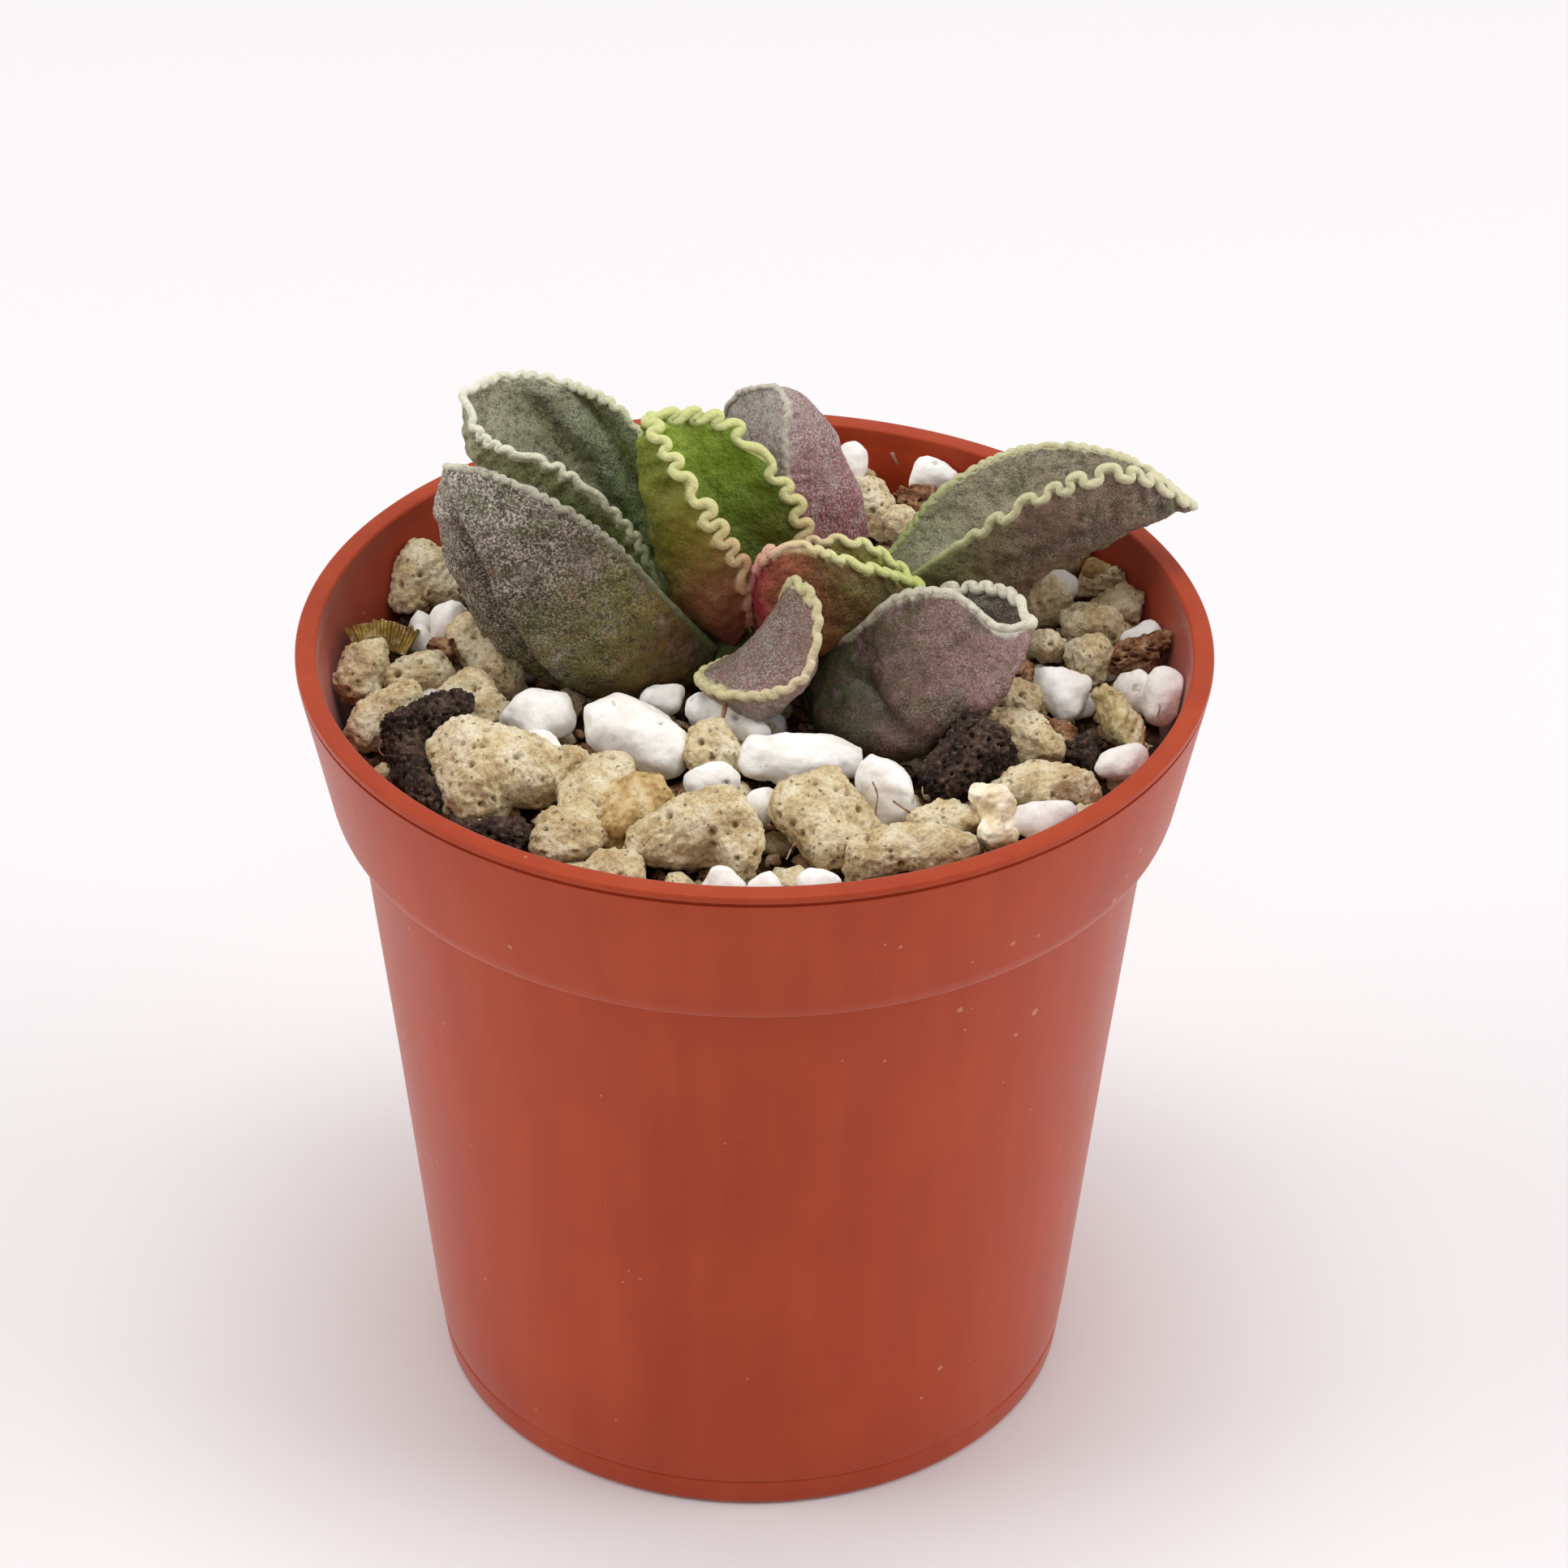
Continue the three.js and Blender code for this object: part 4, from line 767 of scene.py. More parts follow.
# %% Leaf material
def leaf_skin(name, look):
    """The skin of one leaf, from its colours along the outer face, the inner face and the margin, with painted shade in
    its creases and in the hollows of its bump.
    """
    material, tree, shader, place = new_material(name)
    stored = {
        key: add(tree, "ShaderNodeAttribute", attribute_name=key).outputs["Fac"]
        for key in ("along", "edge", "inner", "fold")
    }
    ramps = {}
    for key in ("outer", "inner", "margin"):
        ramp = add(tree, "ShaderNodeValToRGB", {0: stored["along"]})
        set_stops(ramp, look[key])
        ramps[key] = ramp.outputs[0]
    ground = add(
        tree, "ShaderNodeMix", {0: stored["inner"], 6: ramps["outer"], 7: ramps["inner"]}, data_type="RGBA"
    )
    colour = ground.outputs[2]
    for number, (patch, scale, low, high, strength) in enumerate(look["patches"]):
        shifted = add(tree, "ShaderNodeMapping", {"Vector": place, "Location": (0.01 * number, 0, 0)})
        spread = add(
            tree,
            "ShaderNodeTexNoise",
            {"Vector": shifted.outputs[0], "Scale": 1 / (scale * MM), "Detail": 3.0, "Roughness": 0.6},
        )
        share = add(tree, "ShaderNodeMapRange", {0: spread.outputs[0], 1: low, 2: high, 3: 0.0, 4: strength})
        mixed = add(
            tree, "ShaderNodeMix", {0: share.outputs[0], 6: colour, 7: linear(patch)}, data_type="RGBA"
        )
        colour = mixed.outputs[2]
    # Painted shade in the creases: along the marked creases the colour is pulled towards the skin's darkest colour.
    crease_shade_share = add(tree, "ShaderNodeMath", {0: stored["fold"], 1: 0.45}, operation="MULTIPLY")
    shaded_creases = add(
        tree, "ShaderNodeMix", {0: crease_shade_share.outputs[0], 6: colour, 7: linear(look["painted_shade"])}, data_type="RGBA"
    )
    band_noise = add(tree, "ShaderNodeTexNoise", {"Vector": place, "Scale": 1 / (0.9 * MM), "Detail": 2.0})
    wobble = add(
        tree, "ShaderNodeMath", {0: band_noise.outputs[0], 1: 0.9, 2: stored["edge"]}, operation="MULTIPLY_ADD"
    )
    band = add(
        tree,
        "ShaderNodeMapRange",
        {0: wobble.outputs[0], 1: look["band"] + 0.25, 2: look["band"] + 0.75, 3: look["band_share"], 4: 0.0},
        interpolation_type="SMOOTHSTEP",
    )
    edged = add(tree, "ShaderNodeMix", {0: band.outputs[0], 6: shaded_creases.outputs[2], 7: ramps["margin"]}, data_type="RGBA")
    fine = add(
        tree,
        "ShaderNodeTexNoise",
        {"Vector": place, "Scale": 1 / (look["grain"] * MM), "Detail": 2.0, "Roughness": 0.5},
    )
    cover = add(tree, "ShaderNodeTexNoise", {"Vector": place, "Scale": 1 / (1.4 * MM), "Detail": 2.0})
    felt = add(
        tree, "ShaderNodeTexNoise", {"Vector": place, "Scale": 1 / (0.55 * MM), "Detail": 3.0, "Roughness": 0.55}
    )
    foot = add(
        tree,
        "ShaderNodeMapRange",
        {0: stored["along"], 1: 0.4 * look["bare"], 2: look["bare"] + 0.1, 3: 0.06, 4: look["bloom"]},
    )
    specks = add(tree, "ShaderNodeMapRange", {0: fine.outputs[0], 1: 0.45, 2: 0.63, 3: 0.0, 4: foot.outputs[0]})
    thin = add(tree, "ShaderNodeMapRange", {0: cover.outputs[0], 1: 0.38, 2: 0.58, 3: 0.45, 4: 1.0})
    bloom = add(tree, "ShaderNodeMath", {0: specks.outputs[0], 1: thin.outputs[0]}, operation="MULTIPLY")
    calm = add(tree, "ShaderNodeMapRange", {0: band.outputs[0], 1: 0.0, 2: 1.0, 3: 1.0, 4: 0.3})
    bloom_share = add(tree, "ShaderNodeMath", {0: bloom.outputs[0], 1: calm.outputs[0]}, operation="MULTIPLY")
    waxed = add(
        tree,
        "ShaderNodeMix",
        {0: bloom_share.outputs[0], 6: edged.outputs[2], 7: linear(look["wax"])},
        data_type="RGBA",
    )
    # Painted shade in the hollows: where the fine and the felt noise of the bump are both low, the colour is pulled
    # towards the skin's darkest colour.
    pits = add(tree, "ShaderNodeMath", {0: fine.outputs[0], 1: 0.6, 2: felt.outputs[0]}, operation="MULTIPLY_ADD")
    hollow_shade = add(tree, "ShaderNodeMapRange", {0: pits.outputs[0], 1: 0.62, 2: 0.82, 3: look["hollow_shade"], 4: 0.0})
    hollow_shade_share = add(tree, "ShaderNodeMath", {0: hollow_shade.outputs[0], 1: calm.outputs[0]}, operation="MULTIPLY")
    skin_colour = add(
        tree,
        "ShaderNodeMix",
        {0: hollow_shade_share.outputs[0], 6: waxed.outputs[2], 7: linear(look["painted_shade"])},
        data_type="RGBA",
    )
    tree.links.new(skin_colour.outputs[2], shader.inputs["Base Color"])
    shader.inputs["Roughness"].default_value = look.get("roughness", 0.62)
    shader.inputs["IOR"].default_value = 1.42
    shader.inputs["Subsurface Weight"].default_value = look["flesh"]
    shader.inputs["Subsurface Radius"].default_value = (1.0, 0.6, 0.25)
    shader.inputs["Subsurface Scale"].default_value = 1.2 * MM
    fine_bump = add(
        tree, "ShaderNodeBump", {"Height": fine.outputs[0], "Strength": 0.8, "Distance": 0.05 * MM}
    )
    low_bump = add(
        tree,
        "ShaderNodeBump",
        {"Height": felt.outputs[0], "Strength": 0.8, "Distance": 0.26 * MM, "Normal": fine_bump.outputs[0]},
    )
    tree.links.new(low_bump.outputs[0], shader.inputs["Normal"])
    return material


# %% Colours of each leaf
# outer, inner and margin are stops from the base to the tip. A patch is a colour, the size of its
# blotches in millimetres, the noise levels between which it comes in, and its strength.
# The darkest colour of each skin and its strength are painted shade, laid into the hollows of the bump; the same colour
# is the painted shade in the creases.
SKINS = {
    "leaf_centre": {
        "outer": [(0.0, "#6a1018"), (0.2, "#90523a"), (0.4, "#8a7e2a"), (0.7, "#6c7a18"), (1.0, "#8c9a2c")],
        "inner": [(0.0, "#4c3406"), (0.35, "#526010"), (0.68, "#7c9a20"), (1.0, "#9eb840")],
        "margin": [(0.0, "#ac6258"), (0.22, "#c8a27c"), (0.45, "#d6cc90"), (0.7, "#dcdc98"), (1.0, "#d2d88c")],
        "patches": [("#6b2a22", 2.4, 0.56, 0.76, 0.3), ("#566c20", 1.5, 0.5, 0.72, 0.4), ("#b4bc66", 1.1, 0.6, 0.8, 0.2)],
        "band": 0.34,
        "band_share": 1.0,
        "grain": 0.12,
        "bloom": 0.2,
        "wax": "#bcb866",
        "bare": 0.2,
        "hollow_shade": 0.3,
        "painted_shade": "#4a4416",
        "flesh": 0.25,
    },
    "leaf_centre_right": {
        "outer": [(0.0, "#500612"), (0.2, "#a4203a"), (0.36, "#a2563a"), (0.52, "#5c4410"), (0.8, "#424006"), (1.0, "#848f26")],
        "inner": [(0.0, "#8a3a34"), (0.4, "#8a8036"), (1.0, "#8aa03c")],
        "margin": [(0.0, "#b8384e"), (0.18, "#d88888"), (0.32, "#e6ba9c"), (0.55, "#e2dc9e"), (1.0, "#c2d06e")],
        "patches": [("#4e1a18", 2.0, 0.5, 0.7, 0.5), ("#5c6a22", 1.5, 0.52, 0.7, 0.4), ("#b08a5c", 1.2, 0.56, 0.72, 0.35)],
        "band": 0.34,
        "band_share": 1.0,
        "grain": 0.12,
        "bloom": 0.22,
        "wax": "#c4a070",
        "bare": 0.2,
        "hollow_shade": 0.4,
        "painted_shade": "#3a1810",
        "flesh": 0.25,
    },
    "leaf_small_front": {
        "outer": [(0.0, "#74704e"), (0.5, "#86746a"), (1.0, "#a08880")],
        "inner": [(0.0, "#645a44"), (0.5, "#745e50"), (1.0, "#865e54")],
        "margin": [(0.0, "#bab07e"), (0.5, "#cdc493"), (1.0, "#e0ceac")],
        "patches": [("#8c4a4c", 1.8, 0.5, 0.7, 0.55), ("#6e7a66", 1.4, 0.52, 0.7, 0.5)],
        "band": 0.26,
        "band_share": 1.0,
        "grain": 0.12,
        "bloom": 0.4,
        "wax": "#cfc6be",
        "bare": 0.2,
        "hollow_shade": 0.4,
        "painted_shade": "#4a3834",
        "flesh": 0.12,
    },
    "leaf_front_right": {
        "outer": [(0.0, "#1c280a"), (0.22, "#343614"), (0.42, "#5e4834"), (0.7, "#7c5a52"), (1.0, "#9a7674")],
        "inner": [(0.0, "#5d5744"), (1.0, "#74685a")],
        "margin": [(0.0, "#7a7860"), (0.3, "#b0a690"), (0.55, "#d3ccb6"), (1.0, "#e4dfca")],
        "patches": [("#5a342e", 2.0, 0.5, 0.66, 0.65), ("#44502c", 2.4, 0.5, 0.66, 0.55), ("#9c7884", 1.6, 0.54, 0.72, 0.4)],
        "band": 0.24,
        "band_share": 1.0,
        "grain": 0.12,
        "bloom": 0.42,
        "wax": "#b4a69c",
        "bare": 0.5,
        "hollow_shade": 0.55,
        "painted_shade": "#3a2c2a",
        "flesh": 0.08,
    },
    "leaf_left_front": {
        "outer": [(0.0, "#3c4a20"), (0.12, "#6c481a"), (0.3, "#767030"), (0.5, "#5c523e"), (0.8, "#807468"), (1.0, "#95867a")],
        "inner": [(0.0, "#4c5a34"), (1.0, "#7c7f66")],
        "margin": [(0.0, "#56643a"), (0.35, "#77745c"), (0.6, "#b4b098"), (1.0, "#e2dec8")],
        "patches": [("#4c5c22", 3.0, 0.48, 0.66, 0.6), ("#6b4020", 1.4, 0.54, 0.7, 0.4), ("#8e7c80", 2.2, 0.52, 0.72, 0.45)],
        "band": 0.14,
        "band_share": 0.85,
        "grain": 0.15,
        "bloom": 0.85,
        "wax": "#d6ccc0",
        "bare": 0.45,
        "hollow_shade": 0.7,
        "painted_shade": "#3a3028",
        "flesh": 0.05,
    },
    "leaf_left_back": {
        "outer": [(0.0, "#567226"), (0.4, "#76822e"), (0.75, "#8c8e56"), (1.0, "#a8a288")],
        "inner": [(0.0, "#33501a"), (0.3, "#64783a"), (0.6, "#989878"), (0.85, "#908a70"), (1.0, "#9a8270")],
        "margin": [(0.0, "#7c9450"), (0.25, "#c4cc94"), (0.5, "#e4e2c0"), (1.0, "#f2eeda")],
        "patches": [("#4a6028", 2.2, 0.52, 0.68, 0.55), ("#a8a288", 1.3, 0.54, 0.7, 0.45)],
        "band": 0.24,
        "band_share": 0.95,
        "grain": 0.12,
        "bloom": 0.5,
        "wax": "#b4b6a4",
        "bare": 0.3,
        "hollow_shade": 0.6,
        "painted_shade": "#24301a",
        "flesh": 0.08,
    },
    "leaf_right": {
        "outer": [(0.0, "#86a044"), (0.3, "#9c985e"), (0.55, "#8e7460"), (1.0, "#6a5548")],
        "inner": [(0.0, "#768a34"), (0.25, "#868a64"), (0.5, "#968a70"), (1.0, "#877a62")],
        "margin": [(0.0, "#8c9c5c"), (0.3, "#a8b274"), (0.48, "#cfca9c"), (0.8, "#dad4ac"), (1.0, "#e2dcba")],
        "patches": [("#664044", 1.8, 0.54, 0.72, 0.55), ("#56663c", 2.2, 0.5, 0.68, 0.5), ("#8c8486", 1.6, 0.56, 0.75, 0.35)],
        "band": 0.28,
        "band_share": 1.0,
        "grain": 0.12,
        "bloom": 0.42,
        "wax": "#bdb8a4",
        "bare": 0.25,
        "hollow_shade": 0.5,
        "painted_shade": "#3a3222",
        "flesh": 0.08,
    },
    "leaf_back": {
        "outer": [(0.0, "#90303a"), (0.3, "#965054"), (0.65, "#967472"), (1.0, "#a49288")],
        "inner": [(0.0, "#a0968c"), (0.6, "#a89e94"), (1.0, "#a89e94")],
        "margin": [(0.0, "#a8968a"), (0.5, "#b9b3a2"), (1.0, "#d2ccba")],
        "patches": [("#943c48", 1.8, 0.52, 0.72, 0.5), ("#aea298", 1.3, 0.5, 0.7, 0.45)],
        "band": 0.16,
        "band_share": 0.9,
        "grain": 0.135,
        "bloom": 0.7,
        "wax": "#ccc2bf",
        "bare": 0.2,
        "hollow_shade": 0.45,
        "painted_shade": "#4e4040",
        "flesh": 0.06,
    },
}
LEAF_SLOTS = {
    "leaf_centre": "leaf_green",
    "leaf_centre_right": "leaf_red",
    "leaf_small_front": "leaf_pink",
    "leaf_front_right": "leaf_purple",
    "leaf_left_front": "leaf_grey",
    "leaf_left_back": "leaf_grey_green",
    "leaf_right": "leaf_mauve",
    "leaf_back": "leaf_pink_grey",
}
BEAD_STEP = 0.08
BEAD_SIDES = 9
BEAD_UNEVENNESS = 0.14


# %% Grow the leaves
def store(mesh, values):
    """Stores named numbers or vectors on the points of a mesh."""
    for key, value in values.items():
        vector = np.ndim(value) == 2
        attribute = mesh.attributes.new(key, "FLOAT_VECTOR" if vector else "FLOAT", "POINT")
        attribute.data.foreach_set("vector" if vector else "value", np.asarray(value, float).ravel())


def grow_leaf(name, leaf, seed):
    material = leaf_skin("Succulent skin, " + name.replace("_", " "), SKINS[name])
    points, faces, values, bead = blade(name, leaf, seed)
    skin = mesh_piece(name + "_skin", points * MM, faces, material)
    store(skin.data, values)
    face_outwards(skin)
    line = bpy.data.meshes.new(name + "_bead")
    path = bead["points"] * MM
    line.from_pydata([tuple(p) for p in path], [(i, i + 1) for i in range(len(path) - 1)], [])
    store(line, {"sway": bead["sway"] * MM, "push": bead["push"] * MM, "phase": bead["phase"]})
    store(line, {"along": bead["along"], "side": bead["side"], "inner": 0.5 * np.ones(len(path))})
    store(line, {"edge": np.zeros(len(path)), "fold": np.zeros(len(path))})
    cord = run_tree(
        new_object(name + "_bead", line),
        BEAD_TREE,
        {
            "Bead radius": leaf["bead"] * MM,
            "Step": BEAD_STEP * MM,
            "Unevenness": BEAD_UNEVENNESS,
            "Sides": BEAD_SIDES,
            "Material": material,
        },
    )
    with bpy.context.temp_override(active_object=skin, selected_editable_objects=[skin, cord]):
        bpy.ops.object.join()
    stand_for(skin, LEAF_SLOTS[name], name)
    return skin


for number, (name, leaf) in enumerate(LEAVES.items()):
    grown = grow_leaf(name, leaf, 11 * number + 2)
    print(grown.name, triangles(grown), "triangles")

# %% [markdown]
# ## Grit
#
# The top of the mix is loose grit in four kinds of stone and some plant waste. Pumice is volcanic froth:
# beige, lumpy, full of small holes. Perlite is the same glass puffed up in an oven until it is white and
# as round as popcorn. Lava is dark and so porous that its surface is all holes and spikes. Bark is torn
# and flaky. Each could be sculpted by hand, but they differ only in a few numbers: how high and how
# large their lumps are, and how deep, large and frequent their holes. So one Geometry Nodes tree weathers
# them all, starting from a rough body that is the plain solid itself or a few overlapping balls.


# %% Weathering tree
WEATHERING = ("Lump height", "Lump size", "Grit height", "Grit size", "Hole depth", "Hole size", "Hole share")


def weathering_tree():
    tree = bpy.data.node_groups.new("Weathered grain", "GeometryNodeTree")
    sockets = tree.interface
    sockets.new_socket("Geometry", in_out="INPUT", socket_type="NodeSocketGeometry")
    for name in WEATHERING + ("Seed",):
        sockets.new_socket(name, in_out="INPUT", socket_type="NodeSocketFloat")
    sockets.new_socket("Stretch", in_out="INPUT", socket_type="NodeSocketVector")
    sockets.new_socket("Material", in_out="INPUT", socket_type="NodeSocketMaterial")
    sockets.new_socket("Geometry", in_out="OUTPUT", socket_type="NodeSocketGeometry")
    given = add(tree, "NodeGroupInput").outputs
    place = add(tree, "GeometryNodeInputPosition").outputs[0]
    offset = add(tree, "ShaderNodeVectorMath", {0: (0.31, 0.17, 0.23)}, operation="SCALE")
    tree.links.new(given["Seed"], offset.inputs["Scale"])
    stretched = add(tree, "ShaderNodeVectorMath", {0: place, 1: given["Stretch"]}, operation="MULTIPLY")
    spot = add(tree, "ShaderNodeVectorMath", {0: stretched.outputs[0], 1: offset.outputs[0]}, operation="ADD")
    heights = []
    for height, size, detail in (("Lump height", "Lump size", 2.0), ("Grit height", "Grit size", 3.0)):
        scale = add(tree, "ShaderNodeMath", {0: 1.0, 1: given[size]}, operation="DIVIDE")
        waves = add(
            tree, "ShaderNodeTexNoise", {"Vector": spot.outputs[0], "Scale": scale.outputs[0], "Detail": detail}
        )
        centred = add(tree, "ShaderNodeMath", {0: waves.outputs[0], 1: 0.5}, operation="SUBTRACT")
        grown = add(tree, "ShaderNodeMath", {0: centred.outputs[0], 1: 2.6}, operation="MULTIPLY")
        lift = add(tree, "ShaderNodeMath", {0: grown.outputs[0], 1: given[height]}, operation="MULTIPLY")
        heights.append(lift.outputs[0])
    scale = add(tree, "ShaderNodeMath", {0: 1.0, 1: given["Hole size"]}, operation="DIVIDE")
    cells = add(tree, "ShaderNodeTexVoronoi", {"Vector": spot.outputs[0], "Scale": scale.outputs[0]})
    chance = add(tree, "FunctionNodeSeparateColor", {0: cells.outputs["Color"]})
    present = add(
        tree, "ShaderNodeMath", {0: chance.outputs[0], 1: given["Hole share"]}, operation="LESS_THAN"
    )
    radius = add(tree, "ShaderNodeMapRange", {0: chance.outputs[1], 1: 0.0, 2: 1.0, 3: 0.2, 4: 0.48})
    bowl = add(
        tree,
        "ShaderNodeMapRange",
        {0: cells.outputs["Distance"], 1: radius.outputs[0], 2: 0.1, 3: 0.0, 4: 1.0},
        interpolation_type="SMOOTHSTEP",
    )
    hole = add(tree, "ShaderNodeMath", {0: bowl.outputs[0], 1: present.outputs[0]}, operation="MULTIPLY")
    sunk = add(tree, "ShaderNodeMath", {0: hole.outputs[0], 1: given["Hole depth"]}, operation="MULTIPLY")
    lumpy = add(tree, "ShaderNodeMath", {0: heights[0], 1: heights[1]}, operation="ADD")
    total = add(tree, "ShaderNodeMath", {0: lumpy.outputs[0], 1: sunk.outputs[0]}, operation="SUBTRACT")
    outward = add(tree, "GeometryNodeInputNormal")
    move = add(tree, "ShaderNodeVectorMath", {0: outward.outputs[0]}, operation="SCALE")
    tree.links.new(total.outputs[0], move.inputs["Scale"])
    # The hole mask is stored on the grain, where its finish paints shade into the holes.
    marked = add(
        tree,
        "GeometryNodeStoreNamedAttribute",
        {"Geometry": given["Geometry"], "Name": "hole", "Value": hole.outputs[0]},
        data_type="FLOAT",
        domain="POINT",
    )
    moved = add(tree, "GeometryNodeSetPosition", {"Geometry": marked.outputs[0], "Offset": move.outputs[0]})
    smooth = add(tree, "GeometryNodeSetShadeSmooth", {"Geometry": moved.outputs[0]})
    real = add(tree, "GeometryNodeRealizeInstances", {"Geometry": smooth.outputs[0]})
    dressed = add(tree, "GeometryNodeSetMaterial", {"Geometry": real.outputs[0], "Material": given["Material"]})
    add(tree, "NodeGroupOutput", {"Geometry": dressed.outputs[0]})
    return tree


WEATHERING_TREE = weathering_tree()
print("weathering tree:", len(WEATHERING_TREE.nodes), "nodes")


# %% [markdown]
# ### Stone finishes
#
# Stone straight from the bag is broken, dusty and dull: roughness near 1 and almost no highlight. Its
# colour varies on three scales: broad stains, a mottle of half a millimetre, and pin-prick flecks where a
# bubble was cut open or a mineral grain shows. The mottle follows the fine bump, so it is partly painted
# light: dust and a painted highlight on the bump's crests, and painted shade in its hollows. The holes
# that the tree made are darkened with painted shade.


# %% Stone material
def grit_finish(name, look):
    """The finish of one kind of grain from its ground, stain, mottle and fleck colours, with painted shade and
    highlight in the mottle and painted shade in the holes.
    """
    material, tree, shader, place = new_material(name)
    mottle = look["mottle_size"] * MM
    broad = add(tree, "ShaderNodeTexNoise", {"Vector": place, "Scale": 1 / (look["stain_size"] * MM), "Detail": 3.0})
    ground = add(tree, "ShaderNodeValToRGB", {0: broad.outputs[0]})
    set_stops(ground, [(0.36, look["ground"][0]), (0.5, look["ground"][1]), (0.66, look["ground"][2])])
    fine = add(tree, "ShaderNodeTexNoise", {"Vector": place, "Scale": 1 / mottle, "Detail": 4.0, "Roughness": 0.65})
    # Painted shade and highlight: the same fine noise raises the bump, so the mottle is darker in the bump's hollows
    # and paler, with dust, on its crests.
    dark = add(tree, "ShaderNodeMapRange", {0: fine.outputs[0], 1: 0.3, 2: 0.5, 3: look["mottle"], 4: 0.0})
    mottled = add(
        tree,
        "ShaderNodeMix",
        {0: dark.outputs[0], 6: ground.outputs[0], 7: linear(look["shade"])},
        data_type="RGBA",
    )
    pale = add(tree, "ShaderNodeMapRange", {0: fine.outputs[0], 1: 0.52, 2: 0.7, 3: 0.0, 4: look["mottle"]})
    dusted_and_highlighted = add(
        tree,
        "ShaderNodeMix",
        {0: pale.outputs[0], 6: mottled.outputs[2], 7: linear(look["dust_and_highlight"])},
        data_type="RGBA",
    )
    ragged = add(tree, "ShaderNodeTexNoise", {"Vector": place, "Scale": 1 / (0.25 * MM), "Detail": 1.0})
    warp = add(tree, "ShaderNodeVectorMath", {0: ragged.outputs[1]}, operation="SCALE")
    warp.inputs["Scale"].default_value = 0.7 * look["fleck_size"] * MM
    torn = add(tree, "ShaderNodeVectorMath", {0: place, 1: warp.outputs[0]}, operation="ADD")
    cells = add(tree, "ShaderNodeTexVoronoi", {"Vector": torn.outputs[0], "Scale": 1 / (look["fleck_size"] * MM)})
    chance = add(tree, "ShaderNodeSeparateColor", {0: cells.outputs["Color"]})
    reach = add(
        tree,
        "ShaderNodeMapRange",
        {0: chance.outputs[0], 1: 1 - look["fleck_share"], 2: 1.0, 3: 0.0, 4: 0.42},
    )
    inside = add(tree, "ShaderNodeMath", {0: reach.outputs[0], 1: cells.outputs["Distance"]}, operation="SUBTRACT")
    fleck = add(tree, "ShaderNodeMapRange", {0: inside.outputs[0], 1: 0.0, 2: 0.1, 3: 0.0, 4: look["fleck_strength"]})
    flecked = add(
        tree,
        "ShaderNodeMix",
        {0: fleck.outputs[0], 6: dusted_and_highlighted.outputs[2], 7: linear(look["fleck"])},
        data_type="RGBA",
    )
    # Painted shade in the holes: the colour is pulled towards a dark colour where the tree sank a hole.
    hole = add(tree, "ShaderNodeAttribute", attribute_name="hole")
    depth = add(tree, "ShaderNodeMath", {0: hole.outputs["Fac"], 1: look["hole_shade_strength"]}, operation="MULTIPLY")
    hole_shaded = add(
        tree,
        "ShaderNodeMix",
        {0: depth.outputs[0], 6: flecked.outputs[2], 7: linear(look["hole"])},
        data_type="RGBA",
    )
    tree.links.new(hole_shaded.outputs[2], shader.inputs["Base Color"])
    shader.inputs["Roughness"].default_value = look["roughness"]
    shader.inputs["Specular IOR Level"].default_value = look["shine"]
    pricked = add(tree, "ShaderNodeMath", {0: fleck.outputs[0], 1: -1.2, 2: fine.outputs[0]}, operation="MULTIPLY_ADD")
    bump = add(
        tree,
        "ShaderNodeBump",
        {"Height": pricked.outputs[0], "Strength": 0.8, "Distance": look["relief"] * MM},
    )
    tree.links.new(bump.outputs[0], shader.inputs["Normal"])
    return material


